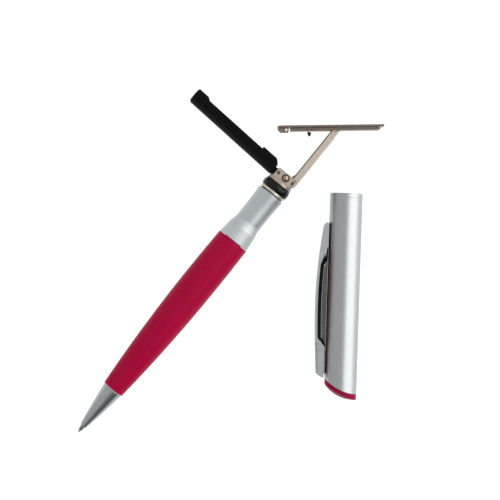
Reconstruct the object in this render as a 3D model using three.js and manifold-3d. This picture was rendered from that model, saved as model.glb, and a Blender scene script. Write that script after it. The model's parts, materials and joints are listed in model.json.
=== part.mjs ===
// A twist ball pen with a folding address stamp in its tail, laid open on a table beside its cap.
// All lengths are millimetres. The table is the XY plane at z = 0 and +Z points up from it.
// The cap's axis runs along Y with its mouth towards +Y. The pen lies at a slant beside it.
import * as THREE from 'three';
import { mergeVertices } from 'three/addons/utils/BufferGeometryUtils.js';
import Module from 'manifold-3d';

const wasm = await Module();
wasm.setup();

// Clearances shared by every fit
const FIT = 0.1; // between pieces that are pressed, screwed or pinned together
const RUN = 0.15; // between pieces that turn or slide in each other

// The slant of the pen and how far its tail mechanism stands open, in degrees
const PEN_ANGLE = 52.82;
const PAD_ARM_OPEN = 87;
const STAMP_PLATE_OPEN = 50.26;
const TWIST_ANGLE = 120;
const POINT_TRAVEL = 4.5;

// Writing end: the ball, its point, the refill tube and the nose cone
const BALL_RADIUS = 0.42;
const POINT_RADIUS = 0.66;
const POINT_CONE = 1.4;
const POINT_REACH = 2.2;
const POINT_LENGTH = 7.4;
const REFILL_RADIUS = 1.17;
const REFILL_WALL = 0.27;
const INK_CHANNEL_RADIUS = 0.2;
const NOSE_LENGTH = 14.8;
const NOSE_MOUTH_RADIUS = 0.98;
const THROAT_LENGTH = 2.4;
const THROAT_TAPER = 2.2;
const NOSE_SPIGOT_LENGTH = 6;
const NOSE_SPIGOT_WALL = 0.9;
const BUSH_WALL = 0.5;

// Barrel
const BARREL_LENGTH = 59.1;
const BARREL_FRONT_WALL = 0.55;
const BARREL_CREST_RADIUS = 5.42;
const BARREL_CREST_FROM_FRONT = 43;
const BARREL_REAR_DROP = 0.18;
const BARREL_BORE_STEP = 8;
const BARREL_BORE_TAPER = 13;

// Twist mechanism in the rear of the barrel
const SOCKET_WALL = 0.95;
const SOCKET_LENGTH = 10.5;
const SOCKET_GRIP = 5.5;
const SOCKET_PIN_ROOM = 2.4;
const DRIVE_PIN_RADIUS = 0.45;
const CAM_WALL = 0.6;
const CAM_REACH_INTO_STEM = 9.8;
const HOUSING_WALL = 0.55;
const HOUSING_LENGTH = 12.6;
const PIN_FROM_HOUSING_FRONT = 6.3;
const CLIP_RING_THICKNESS = 0.7;

// Collar, stem and rings
const COLLAR_LENGTH = 7.5;
const COLLAR_SEAT_LENGTH = 4.8;
const COLLAR_BASE_RADIUS = 5.15;
const COLLAR_FLARE_CURVE = 1.6;
const STEM_SPIGOT_WALL = 0.55;
const STEM_SPIGOT_LENGTH = 6.6;
const NECK_LENGTH = 11;
const NECK_FRONT_RADIUS = 4.2;
const NECK_REAR_RADIUS = 4.42;
const RING_GROOVE = 0.4;
const RING_GROOVE_DEPTH = 0.35;
const METAL_RING_RADIUS = 4.25;
const METAL_RING_LENGTH = 0.8;
const RUBBER_RING_RADIUS = 4.6;
const RUBBER_RING_LENGTH = 2.1;
const WASHER_RADIUS = 4.36;
const WASHER_LENGTH = 0.4;
const TAIL_RADIUS = 2.7;
const TAIL_REACH_INTO_STEM = 5.5;

// Hinge block at the end of the stem
const BLOCK_RADIUS = 4.2;
const BLOCK_FLANGE = 0.75;
const CHEEK_LENGTH = 3.35;
const CHEEK_THICKNESS = 0.8;
const CHEEK_LEFT_FRONT = 4;
const CHEEK_LEFT_REAR = 3.05;
const CHEEK_ROOT = 0.25;
const PIN_RADIUS = 0.45;
const RIVET_RADIUS = 0.85;
const RIVET_SHANK_RADIUS = 0.6;
const RIVET_RING = 0.4;
const RIVET_RING_DEPTH = 0.35;
const RIVET_OFFSET = -0.45;
const PAD_PIN_OFFSET = 2.3;
const STAMP_PIN_OFFSET = -3.15;
const PIN_FROM_FLANGE = 1.85;

// Torsion spring round the rivet
const SPRING_WIRE = 0.3;
const SPRING_TURNS = 3.5;
const SPRING_PITCH = 0.78;
const SPRING_LEG = 0.7;

// Pad arm: a trough of D section that holds the ink pad
const PAD_ARM_RADIUS = 4.45;
const PAD_ARM_WALL = 0.35;
const PAD_ARM_START = 1.9;
const PAD_ARM_END = 35.4;
const PAD_ARM_BACK = 1.94;
const PAD_ARM_RIM = 2.2;
const PAD_EAR_RIM = 2.9;
const NEAR_EAR_END = 8.6;
const FAR_EAR_START = 31.4;
const PAD_ARM_END_WALL = 0.5;
const PAD_ARM_ROOF = 1.35;
const PAD_KNUCKLE_RADIUS = 1.45;
const PAD_RECESS = 0.2;

// Stamp arm: a folded channel between the block and the stamp plate
const STAMP_ARM_LENGTH = 21.1;
const STAMP_ARM_WIDTH = 2.4;
const STAMP_ARM_INNER = 1; // from its line of pins to the side that faces the plate
const STAMP_ARM_HEIGHT = 3.6;
const STAMP_ARM_WALL = 0.45;
const STAMP_ARM_SOLID_ROOT = 2.4;
const STOP_LUG_HEIGHT = 0.35;
const STOP_LUG_LENGTH = 1.1;

// Stamp plate and what is fixed under it
const PLATE_LENGTH = 32.85;
const PLATE_WIDTH = 8;
const PLATE_THICKNESS = 0.7;
const PLATE_LEFT_REACH = 17.8;
const PLATE_FACE_HEIGHT = 1.77;
const RAIL_WIDTH = 1.2;
const RAIL_LEFT_GAP = 0.5;
const RAIL_RIGHT_SHORT = 1.2;
const RAIL_RIGHT_GAP = 0.22;
const RAIL_LUG_RADIUS = 0.85;
const RAIL_SKIRT_NOTCH = 0.95;
const END_CLIP_LENGTH = 3.4;
const END_CLIP_DEPTH = 1.95;
const END_CLIP_WALL = 0.6;
const STUD_FROM_PIVOT = 8;
const STUD_SLEEVE_RADIUS = 0.75;
const STUD_SLEEVE_DROP = 0.35;
const STUD_SHANK_RADIUS = 0.28;
const STUD_TIP_RADIUS = 0.62;
const STUD_TIP_LENGTH = 1.1;
const STUD_TAPER = 0.45; // tip's end to its root

// Cap and its clip
const CAP_WALL = 0.4;
const CAP_LENGTH = 60.9;
const CAP_END_SLOPE = 0.444;
const CAP_END_BOW = 1.1;
const PLUG_LENGTH = 4;
const CAP_MOUTH = [80.66, 76.52];
const INSERT_BULGE = 2.1;
const INSERT_DOME_RADIUS = 11.2;
const INSERT_TILT = 26.931;
const INSERT_SPIGOT = 1.5;
const CLIP_HALF_WIDTH = 2.1;
const CLIP_SHEET = 0.4;
const CLIP_STRAP = 0.75;
const CLIP_TUBE_GAP = 0.35;
const CLIP_TIP_GAP = 0.12;
const CLIP_LENGTH = 47.9;
const CLIP_ROOT_FROM_END = 3.7;
const CLIP_PIVOT_FROM_ROOT = 3;
const CLIP_PIVOT_LIFT = 1.3;
const CLIP_PIN_RADIUS = 0.45;
const CLIP_PIN_SKIN = 0.15; // sheet left outside the pin's blind holes
const CLIP_CREST_FROM_TIP = 25.7;
const CLIP_CREST_LIFT = 3.57;
const CLIP_TIP_DROP = 2.1;
const CLIP_ROOT_DROP = 0.67;
const CLIP_NOSE_LENGTH = 2.6;
const CLIP_TIP_ROUND = 2.4;
const CLIP_TIP_EDGE = 0.5;
const WINDOW_FROM_TIP = 12.9;
const WINDOW_FRONT_SLANT = 5.7;
const WINDOW_FROM_ROOT = 12.2;
const WINDOW_REAR_SLANT = 2.7;
const LINER_FROM_TIP = 4.2;
const LINER_PAST_WINDOW = 1;
const LINER_THICKNESS = 1.1;
const LINER_FRONT_LEG = 4.5;
const LINER_REAR_LEG = 0.9;
const LINER_REAR_LEG_WIDTH = 0.5;
const LINER_LIFT_ROOM = 1.1; // behind the rear legs, for when the clip is lifted
const SCREW_RADIUS = 0.7;
const SCREW_FROM_PIVOT = 4.6;

// Facets round a turned piece
const WIDE_SIDES = 32;
const NARROW_SIDES = 24;
const PIN_SIDES = 16;

// Stations along the pen, measured from the tip of the ball
const noseMouth = POINT_REACH;
const barrelFront = noseMouth + NOSE_LENGTH;
const barrelRear = barrelFront + BARREL_LENGTH;
const collarFront = barrelRear + FIT;
const neckFront = collarFront + COLLAR_LENGTH;
const neckRear = neckFront + NECK_LENGTH;
const metalRingFront = neckRear + RING_GROOVE;
const rubberRingFront = metalRingFront + METAL_RING_LENGTH + FIT;
const washerFront = rubberRingFront + RUBBER_RING_LENGTH + FIT;
const blockFront = washerFront + WASHER_LENGTH + FIT;
const cheekFront = blockFront + BLOCK_FLANGE;
const pinStation = cheekFront + PIN_FROM_FLANGE;

// Radii that follow from what runs inside what
const refillBore = REFILL_RADIUS - REFILL_WALL;
const noseBore = REFILL_RADIUS + RUN;
const noseSpigotRadius = noseBore + NOSE_SPIGOT_WALL;
const bushBore = noseSpigotRadius + FIT;
const bushRadius = bushBore + BUSH_WALL;
const barrelFrontBore = bushRadius + FIT;
const barrelFrontRadius = barrelFrontBore + BARREL_FRONT_WALL;
const noseBaseRadius = barrelFrontRadius - 2 * FIT;
const socketRadius = REFILL_RADIUS + FIT + SOCKET_WALL;
const camBore = socketRadius + RUN;
const camRadius = camBore + CAM_WALL;
const housingBore = camRadius + RUN;
const housingRadius = housingBore + HOUSING_WALL;
const barrelBore = housingRadius + FIT;
const stemBore = camRadius + FIT;
const stemSpigotRadius = stemBore + STEM_SPIGOT_WALL;
const collarBore = stemSpigotRadius + FIT;
const ringBore = TAIL_RADIUS + FIT;
const capBore = RUBBER_RING_RADIUS + FIT / 2;
const capRadius = capBore + CAP_WALL;

// Stations along the cap and its clip, measured from the cap's mouth
const plugFront = CAP_LENGTH - PLUG_LENGTH;
const clipRoot = CAP_LENGTH - CLIP_ROOT_FROM_END;
const clipTip = clipRoot - CLIP_LENGTH;
const clipPivot = clipRoot - CLIP_PIVOT_FROM_ROOT;
const clipCrest = clipTip + CLIP_CREST_FROM_TIP;
const windowFront = clipTip + WINDOW_FROM_TIP;
const windowRear = clipRoot - WINDOW_FROM_ROOT;
const screwStation = clipPivot - SCREW_FROM_PIVOT;

// The drive pin stands in the socket behind the refill's end, and the slots start there
const housingFront = barrelRear - HOUSING_LENGTH - 4 * FIT;
const drivePinStation = housingFront + PIN_FROM_HOUSING_FRONT;
const socketFront = drivePinStation - SOCKET_GRIP - SOCKET_PIN_ROOM;
const refillEnd = socketFront + SOCKET_GRIP - FIT;

// Half the space between the cheeks, from the stamp arm that folds into it
const slotHalf = STAMP_ARM_HEIGHT / 2 + RUN;
const cheekTop = slotHalf + CHEEK_THICKNESS;

const radians = THREE.MathUtils.degToRad;

// Solids and how they are joined and cut

function toSolid(geometry) {
  geometry.deleteAttribute('normal');
  geometry.deleteAttribute('uv');
  const welded = mergeVertices(geometry, 1e-5);
  const corners = welded.index.array;
  const kept = [];
  for (let i = 0; i < corners.length; i += 3) {
    const [a, b, c] = corners.slice(i, i + 3);
    if (a !== b && b !== c && c !== a) {
      kept.push(a, b, c);
    }
  }
  const vertProperties = Float32Array.from(welded.attributes.position.array);
  const triVerts = Uint32Array.from(kept);
  const made = new wasm.Manifold(new wasm.Mesh({ numProp: 3, vertProperties, triVerts }));
  if (made.volume() > 0) {
    return made;
  }
  // The outline was drawn the other way round, so its faces are turned outwards
  return new wasm.Manifold(new wasm.Mesh({ numProp: 3, vertProperties, triVerts: triVerts.reverse() }));
}

function piece(name, shape, finish) {
  const mesh = shape.getMesh();
  const points = new Float32Array(mesh.numVert * 3);
  for (let i = 0; i < mesh.numVert; i += 1) {
    points.set(mesh.vertProperties.slice(i * mesh.numProp, i * mesh.numProp + 3), i * 3);
  }
  const geometry = new THREE.BufferGeometry();
  geometry.setAttribute('position', new THREE.BufferAttribute(points, 3));
  geometry.setIndex(new THREE.BufferAttribute(Uint32Array.from(mesh.triVerts), 1));
  geometry.computeVertexNormals();
  const made = new THREE.Mesh(geometry, finish.clone());
  made.name = name;
  return made;
}

// A solid turned about the X axis from pairs of station and radius
function turned(outline, sides = NARROW_SIDES) {
  const profile = outline.map(([station, radius]) => new THREE.Vector2(radius, station));
  return toSolid(new THREE.LatheGeometry(profile, sides).rotateZ(-Math.PI / 2));
}

// A turned tube: the outer outline, then straight back along the bore
function tube(outer, inner, sides) {
  return turned([...outer, ...inner.toReversed(), outer[0]], sides);
}

function ring(from, to, bore, radius, sides) {
  return tube([[from, radius], [to, radius]], [[from, bore], [to, bore]], sides);
}

// A plan outline in X and Y raised between two heights
function raised(outline, from, to) {
  const shape = new THREE.Shape(outline.map(([x, y]) => new THREE.Vector2(x, y)));
  const geometry = new THREE.ExtrudeGeometry(shape, { depth: to - from, bevelEnabled: false });
  return toSolid(geometry.translate(0, 0, from));
}

// A section in Y and Z drawn out along X
function drawnOut(outline, from, to) {
  const shape = new THREE.Shape(outline.map(([y, z]) => new THREE.Vector2(y, z)));
  const geometry = new THREE.ExtrudeGeometry(shape, { depth: to - from, bevelEnabled: false });
  const axes = new THREE.Matrix4().makeBasis(
    new THREE.Vector3(0, 1, 0), new THREE.Vector3(0, 0, 1), new THREE.Vector3(1, 0, 0));
  return toSolid(geometry.applyMatrix4(axes).translate(from, 0, 0));
}

function box(xFrom, xTo, yFrom, yTo, zFrom, zTo) {
  const geometry = new THREE.BoxGeometry(xTo - xFrom, yTo - yFrom, zTo - zFrom);
  return toSolid(geometry.translate((xFrom + xTo) / 2, (yFrom + yTo) / 2, (zFrom + zTo) / 2));
}

// A round rod that stands along Z
function standing(x, y, radius, from, to, sides = PIN_SIDES) {
  const geometry = new THREE.CylinderGeometry(radius, radius, to - from, sides);
  return toSolid(geometry.rotateX(Math.PI / 2).translate(x, y, (from + to) / 2));
}

// A round rod or cone along Y, with its own radius at each end
function across(x, z, radiusFrom, radiusTo, from, to, sides = PIN_SIDES) {
  const geometry = new THREE.CylinderGeometry(radiusTo, radiusFrom, to - from, sides);
  return toSolid(geometry.translate(x, (from + to) / 2, z));
}

// Points on an arc, for outlines; angles in degrees
function arc(x, y, radius, from, to, steps) {
  return Array.from({ length: steps + 1 }, (_, i) => {
    const turn = radians(from + ((to - from) * i) / steps);
    return [x + radius * Math.cos(turn), y + radius * Math.sin(turn)];
  });
}

function finish(color, roughness, metalness) {
  return new THREE.MeshStandardMaterial({ color, roughness, metalness });
}

const redLacquer = finish(0xa81a3c, 0.35, 0.2);
const satinSilver = finish(0xb8c0c2, 0.4, 0.8);
const noseNickel = finish(0x9a9ea0, 0.35, 0.9);
const champagneNickel = finish(0xb0a396, 0.35, 0.9);
const bronzeNickel = finish(0x6b5e54, 0.4, 0.8);
const blackPlastic = finish(0x121214, 0.6, 0);
const blackRubber = finish(0x1c1c20, 0.45, 0);
const brass = finish(0xb5914c, 0.4, 0.9);
const steel = finish(0x9c9c9e, 0.35, 0.9);
const clearPlastic = finish(0xc9cdd2, 0.3, 0);
const whitePlastic = finish(0xd9d9d4, 0.5, 0);
const inkFelt = finish(0x1b1e35, 0.95, 0);

// Writing end

function writingBall() {
  return toSolid(new THREE.SphereGeometry(BALL_RADIUS, 12, 8).translate(BALL_RADIUS, 0, 0));
}

function refillPoint() {
  const rim = 1.1 * BALL_RADIUS;
  const shoulder = POINT_LENGTH + 2 * FIT;
  const plugRadius = refillBore - FIT / 2;
  const tubeFront = shoulder + POINT_RADIUS;
  const plugEnd = tubeFront + 4 * REFILL_RADIUS;
  const outer = [[rim, 0.9 * BALL_RADIUS], [POINT_CONE, POINT_RADIUS],
    [POINT_LENGTH, POINT_RADIUS], [shoulder, REFILL_RADIUS - FIT / 2],
    [tubeFront, REFILL_RADIUS - FIT / 2], [tubeFront, plugRadius], [plugEnd, plugRadius]];
  const inner = [[rim, INK_CHANNEL_RADIUS], [plugEnd, INK_CHANNEL_RADIUS]];
  const seat = toSolid(
    new THREE.SphereGeometry(BALL_RADIUS + FIT / 2, 12, 8).translate(BALL_RADIUS, 0, 0));
  return tube(outer, inner, PIN_SIDES).subtract(seat);
}

function refillTube() {
  const front = POINT_LENGTH + 2 * FIT + POINT_RADIUS + FIT / 2;
  return ring(front, refillEnd, refillBore, REFILL_RADIUS, PIN_SIDES);
}

// The nose's side bulges a little: a power curve between its mouth and its base
function noseCone() {
  const outer = [];
  const base = barrelFront - FIT / 2;
  for (let i = 0; i <= 8; i += 1) {
    const along = i / 8;
    const radius = NOSE_MOUTH_RADIUS + (noseBaseRadius - NOSE_MOUTH_RADIUS) * along ** 0.84;
    outer.push([noseMouth + (base - noseMouth) * along, radius]);
  }
  const spigotEnd = base + NOSE_SPIGOT_LENGTH;
  outer.push([base, noseSpigotRadius], [spigotEnd, noseSpigotRadius]);
  const throat = POINT_RADIUS + RUN;
  const throatEnd = noseMouth + THROAT_LENGTH;
  const inner = [[noseMouth, throat], [throatEnd, throat],
    [throatEnd + THROAT_TAPER, noseBore], [spigotEnd, noseBore]];
  return tube(outer, inner, WIDE_SIDES);
}

function frontBush() {
  const front = barrelFront + 0.5;
  return ring(front, front + NOSE_SPIGOT_LENGTH, bushBore, bushRadius);
}

// Barrel: two power curves that meet at the crest, over a bore that opens towards the rear
function redBarrel() {
  const outer = [];
  const crest = barrelFront + BARREL_CREST_FROM_FRONT;
  const frontDrop = BARREL_CREST_RADIUS - barrelFrontRadius;
  for (let i = 0; i <= 12; i += 1) {
    const away = 1 - i / 12;
    const radius = BARREL_CREST_RADIUS - frontDrop * away ** 1.94;
    outer.push([crest - BARREL_CREST_FROM_FRONT * away, radius]);
  }
  for (let i = 1; i <= 4; i += 1) {
    const away = i / 4;
    outer.push([crest + (barrelRear - crest) * away, BARREL_CREST_RADIUS - BARREL_REAR_DROP * away ** 2.5]);
  }
  const stepEnd = barrelFront + BARREL_BORE_STEP;
  const inner = [[barrelFront, barrelFrontBore], [stepEnd, barrelFrontBore],
    [stepEnd + BARREL_BORE_TAPER, barrelBore], [barrelRear, barrelBore]];
  return tube(outer, inner, WIDE_SIDES);
}

// Twist mechanism: the pin stands in a straight slot of the housing and a helical slot of the cam

function twistHousing() {
  const half = DRIVE_PIN_RADIUS + FIT;
  const slot = box(drivePinStation - half, drivePinStation + POINT_TRAVEL + half, -half, half,
    camRadius, housingRadius + 1);
  return ring(housingFront, housingFront + HOUSING_LENGTH, housingBore, housingRadius).subtract(slot);
}

// A bar that winds round the X axis, as wide as the pin and its clearance
function helicalCutter() {
  const half = DRIVE_PIN_RADIUS + RUN;
  const steps = 14;
  const over = 0.09;
  const pitchAngle = Math.atan2(POINT_TRAVEL, radians(TWIST_ANGLE) * camRadius);
  const points = [];
  const faces = [];
  for (let i = 0; i <= steps; i += 1) {
    const share = -over + ((1 + 2 * over) * i) / steps;
    const middle = Math.PI / 2 - radians(TWIST_ANGLE) * share;
    const ring = [[-1, camBore - 1], [-1, camRadius + 1], [1, camRadius + 1], [1, camBore - 1]];
    for (const [side, radius] of ring) {
      const station = drivePinStation + POINT_TRAVEL * share + side * half * Math.cos(pitchAngle);
      const turn = middle + (side * half * Math.sin(pitchAngle)) / camRadius;
      points.push(station, radius * Math.cos(turn), radius * Math.sin(turn));
    }
  }
  for (let i = 0; i < steps; i += 1) {
    for (let k = 0; k < 4; k += 1) {
      const [a, b] = [4 * i + k, 4 * i + ((k + 1) % 4)];
      faces.push(a, b, b + 4, a, b + 4, a + 4);
    }
  }
  const last = 4 * steps;
  faces.push(2, 1, 0, 3, 2, 0, last, last + 1, last + 2, last, last + 2, last + 3);
  const geometry = new THREE.BufferGeometry();
  geometry.setAttribute('position', new THREE.BufferAttribute(Float32Array.from(points), 3));
  geometry.setIndex(faces);
  return toSolid(geometry);
}

function camSleeve() {
  const front = housingFront - CLIP_RING_THICKNESS - 3 * FIT;
  const rear = barrelRear + CAM_REACH_INTO_STEM;
  return ring(front, rear, camBore, camRadius).subtract(helicalCutter());
}

function mechanismClip() {
  const rear = housingFront - FIT;
  return ring(rear - CLIP_RING_THICKNESS, rear, camRadius + FIT / 2, housingRadius - FIT);
}

function refillSocket() {
  const rear = socketFront + SOCKET_LENGTH;
  const gripEnd = socketFront + SOCKET_GRIP;
  const bore = REFILL_RADIUS + FIT;
  const body = turned([[gripEnd, 0], [gripEnd, bore], [socketFront, bore], [socketFront, socketRadius],
    [rear, socketRadius], [rear, 0]]);
  return body.subtract(standing(drivePinStation, 0, DRIVE_PIN_RADIUS + FIT / 2, 0, socketRadius + 1));
}

function drivePin() {
  return standing(drivePinStation, 0, DRIVE_PIN_RADIUS, FIT, housingRadius - FIT, PIN_SIDES - 4);
}

// Collar: a slow cone up to the cap's seat, then a hollow flare down to the neck
function collar() {
  const edge = 0.25;
  const seat = collarFront + COLLAR_SEAT_LENGTH;
  const seatRadius = capBore;
  const flare = neckFront - FIT / 2 - seat;
  const outer = [[collarFront, COLLAR_BASE_RADIUS - edge / 2], [collarFront + edge, COLLAR_BASE_RADIUS],
    [seat - edge / 2, seatRadius + edge / 3]];
  for (let i = 0; i <= 5; i += 1) {
    const lift = (seatRadius - NECK_FRONT_RADIUS) * (1 - i / 5) ** COLLAR_FLARE_CURVE;
    outer.push([seat + (flare * i) / 5, NECK_FRONT_RADIUS + lift]);
  }
  const inner = [[collarFront, collarBore], [seat + flare, collarBore]];
  return tube(outer, inner, WIDE_SIDES);
}

function stem() {
  const spigotFront = neckFront - STEM_SPIGOT_LENGTH;
  const outer = [[spigotFront, stemSpigotRadius], [neckFront, stemSpigotRadius],
    [neckFront, NECK_FRONT_RADIUS], [neckFront + NECK_LENGTH / 2, NECK_FRONT_RADIUS],
    [neckRear, NECK_REAR_RADIUS], [neckRear, METAL_RING_RADIUS - RING_GROOVE_DEPTH],
    [metalRingFront - FIT, METAL_RING_RADIUS - RING_GROOVE_DEPTH]];
  const inner = [[spigotFront, stemBore], [neckRear - TAIL_REACH_INTO_STEM - 2, stemBore],
    [neckRear - TAIL_REACH_INTO_STEM, ringBore], [metalRingFront - FIT, ringBore]];
  return tube(outer, inner, WIDE_SIDES);
}

function retainingRing() {
  return ring(metalRingFront, metalRingFront + METAL_RING_LENGTH, ringBore, METAL_RING_RADIUS, WIDE_SIDES);
}

// Rubber ring: its outside is slightly barrel shaped so that the cap slides on and grips
function rubberRing() {
  const rear = rubberRingFront + RUBBER_RING_LENGTH;
  const edge = 0.15;
  const outer = [];
  for (let i = 0; i <= 4; i += 1) {
    const off = (2 * i) / 4 - 1;
    outer.push([rubberRingFront + (RUBBER_RING_LENGTH * i) / 4, RUBBER_RING_RADIUS - edge * off * off]);
  }
  return tube(outer, [[rubberRingFront, ringBore], [rear, ringBore]], WIDE_SIDES);
}

function sealWasher() {
  return ring(washerFront, washerFront + WASHER_LENGTH, ringBore, WASHER_RADIUS, WIDE_SIDES);
}

// Hinge block: flange, tail in the stem, and two cheeks cut from one round bar

function hingeBlock() {
  const cheekRear = cheekFront + CHEEK_LENGTH;
  const tailFront = neckRear - TAIL_REACH_INTO_STEM + FIT;
  const bar = turned([[tailFront, 0], [tailFront, TAIL_RADIUS], [blockFront, TAIL_RADIUS],
    [blockFront, BLOCK_RADIUS], [cheekRear, BLOCK_RADIUS], [cheekRear, 0]], WIDE_SIDES);
  const corner = 0.4;
  const plan = [[cheekFront - 1, -BLOCK_RADIUS], [cheekRear, -BLOCK_RADIUS],
    ...arc(cheekRear - corner, CHEEK_LEFT_REAR - corner, corner, 0, 75, 4), [cheekFront, CHEEK_LEFT_FRONT],
    [cheekFront, BLOCK_RADIUS + 1], [tailFront - 1, BLOCK_RADIUS + 1], [tailFront - 1, -BLOCK_RADIUS - 1],
    [cheekFront - 1, -BLOCK_RADIUS - 1]];
  const clear = BLOCK_RADIUS + 1;
  const slot = box(cheekFront + CHEEK_ROOT, cheekRear + 1, -clear, clear, -slotHalf, slotHalf);
  const overTop = box(cheekFront, cheekRear + 1, -clear, clear, cheekTop, clear);
  const under = box(cheekFront, cheekRear + 1, -clear, clear, -clear, -cheekTop);
  let block = bar.intersect(raised(plan, -BLOCK_RADIUS - 1, BLOCK_RADIUS + 1));
  block = block.subtract(slot).subtract(overTop).subtract(under);
  for (const offset of [PAD_PIN_OFFSET, STAMP_PIN_OFFSET]) {
    block = block.subtract(standing(pinStation, offset, PIN_RADIUS + FIT / 2, -cheekTop - 1, cheekTop + 1));
  }
  const rivetHole = RIVET_RADIUS + FIT / 2;
  block = block.subtract(standing(pinStation, RIVET_OFFSET, rivetHole, -cheekTop - 1, cheekTop + 1));
  for (const side of [-1, 1]) {
    const [from, to] = [side * (cheekTop - RIVET_RING_DEPTH), side * (cheekTop + 1)].sort((a, b) => a - b);
    block = block.subtract(standing(pinStation, RIVET_OFFSET, RIVET_RADIUS + RIVET_RING, from, to));
  }
  return block;
}

// A thick ended rod: the ends sit in the cheeks and the thin waist carries the spring
function centreRivet() {
  let rod = standing(pinStation, RIVET_OFFSET, RIVET_SHANK_RADIUS, -cheekTop, cheekTop);
  for (const side of [-1, 1]) {
    const [from, to] = [side * slotHalf, side * cheekTop].sort((a, b) => a - b);
    rod = rod.add(standing(pinStation, RIVET_OFFSET, RIVET_RADIUS, from, to));
  }
  return rod;
}

function hingePin(offset) {
  return standing(pinStation, offset, PIN_RADIUS, FIT - cheekTop, cheekTop - FIT, PIN_SIDES - 4);
}

// Prints the least gap between turns of a wire, from points more than half a turn apart
function reportLeastGap(points, wire) {
  const apart = 5;
  let least = Infinity;
  for (let i = 0; i < points.length; i += 1) {
    for (let j = i + apart; j < points.length; j += 1) {
      least = Math.min(least, points[i].distanceTo(points[j]) - wire);
    }
  }
  console.log(`least gap between turns of the spring: ${least.toFixed(2)} mm`);
}

// Torsion spring: one wire wound round the rivet, with a straight leg at each end
function torsionSpring() {
  const radius = RIVET_SHANK_RADIUS + FIT + SPRING_WIRE / 2;
  const height = SPRING_TURNS * SPRING_PITCH;
  const points = [];
  const steps = Math.round(SPRING_TURNS * 8);
  for (let i = 0; i <= steps; i += 1) {
    const turn = (2 * Math.PI * SPRING_TURNS * i) / steps;
    points.push(new THREE.Vector3(pinStation + radius * Math.cos(turn),
      RIVET_OFFSET + radius * Math.sin(turn), -height / 2 + (height * i) / steps));
  }
  const startLeg = points[0].clone().add(new THREE.Vector3(0, -SPRING_LEG, 0));
  const endLeg = points[steps].clone().add(new THREE.Vector3(0, -SPRING_LEG, 0));
  const path = new THREE.CatmullRomCurve3([startLeg, ...points, endLeg], false, 'centripetal');
  const section = arc(0, 0, SPRING_WIRE / 2, 0, 288, 4).map(([x, y]) => new THREE.Vector2(x, y));
  const geometry = new THREE.ExtrudeGeometry(new THREE.Shape(section), {
    steps: steps + 2, bevelEnabled: false, extrudePath: path });
  reportLeastGap(points, SPRING_WIRE);
  return toSolid(geometry);
}

// Pad arm, drawn folded along the pen's axis with its pivot at the origin

const padAxis = -PAD_PIN_OFFSET; // where the pen's axis lies below the pivot

// D section: a circle about the pen's axis, cut flat at the back and open at the rim.
// Below the axis the sides are straight where the section is a cutter for the trough.
function padSection(radius, back, rim, straight) {
  const degrees = THREE.MathUtils.radToDeg;
  const rimTurn = straight ? 90 : degrees(Math.acos((rim - padAxis) / radius));
  const backTurn = degrees(Math.acos((back - padAxis) / radius));
  const sides = [...arc(padAxis, 0, radius, -rimTurn, -backTurn, 6),
    ...arc(padAxis, 0, radius, backTurn, rimTurn, 6)];
  return straight ? [[rim, -radius], ...sides, [rim, radius]] : sides;
}

function padHolder() {
  const ramp = 0.8;
  const chamfer = 0.45;
  const side = [[PAD_ARM_START, PAD_ARM_BACK - chamfer / 3], [PAD_ARM_START + chamfer / 3, PAD_ARM_BACK],
    [PAD_ARM_END - chamfer, PAD_ARM_BACK], [PAD_ARM_END, PAD_ARM_BACK - chamfer],
    [PAD_ARM_END, chamfer - PAD_EAR_RIM], [PAD_ARM_END - chamfer, -PAD_EAR_RIM],
    [FAR_EAR_START, -PAD_EAR_RIM], [FAR_EAR_START - ramp, -PAD_ARM_RIM],
    [NEAR_EAR_END + ramp / 4, -PAD_ARM_RIM], [NEAR_EAR_END, -PAD_EAR_RIM],
    [PAD_ARM_START + 3 * chamfer, -PAD_EAR_RIM], [PAD_ARM_START, chamfer - PAD_ARM_RIM]];
  const reach = PAD_ARM_RADIUS + 1;
  const roof = PAD_ARM_BACK - PAD_ARM_ROOF;
  const outside = drawnOut(padSection(PAD_ARM_RADIUS, PAD_ARM_BACK, -PAD_EAR_RIM - 0.5, false),
    PAD_ARM_START, PAD_ARM_END);
  const trough = drawnOut(padSection(PAD_ARM_RADIUS - PAD_ARM_WALL, roof, -PAD_EAR_RIM - 1, true),
    PAD_ARM_START + PAD_ARM_END_WALL, PAD_ARM_END - PAD_ARM_END_WALL);
  const shell = outside.intersect(raised(side, -reach, reach)).subtract(trough);
  const half = slotHalf - RUN;
  const neckEnd = PAD_ARM_START + PAD_ARM_END_WALL / 2;
  const neck = box(0, neckEnd, -0.6 * PAD_KNUCKLE_RADIUS, 0.9 * PAD_KNUCKLE_RADIUS, -half, half);
  const knuckle = standing(0, 0, PAD_KNUCKLE_RADIUS, -half, half, NARROW_SIDES);
  const hole = standing(0, 0, PIN_RADIUS + FIT / 2, -half - 1, half + 1);
  return shell.add(neck).add(knuckle).subtract(hole);
}

function inkPad() {
  const back = PAD_ARM_BACK - PAD_ARM_ROOF - FIT;
  const surface = PAD_RECESS - PAD_ARM_RIM;
  return drawnOut(padSection(PAD_ARM_RADIUS - PAD_ARM_WALL - FIT, back, surface, false),
    PAD_ARM_START + PAD_ARM_END_WALL + FIT, PAD_ARM_END - PAD_ARM_END_WALL - FIT);
}

// Stamp arm, drawn along X from its own pin: a channel open towards the plate, with a solid root,
// a forked end and a small stop lug beside the cheeks

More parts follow.
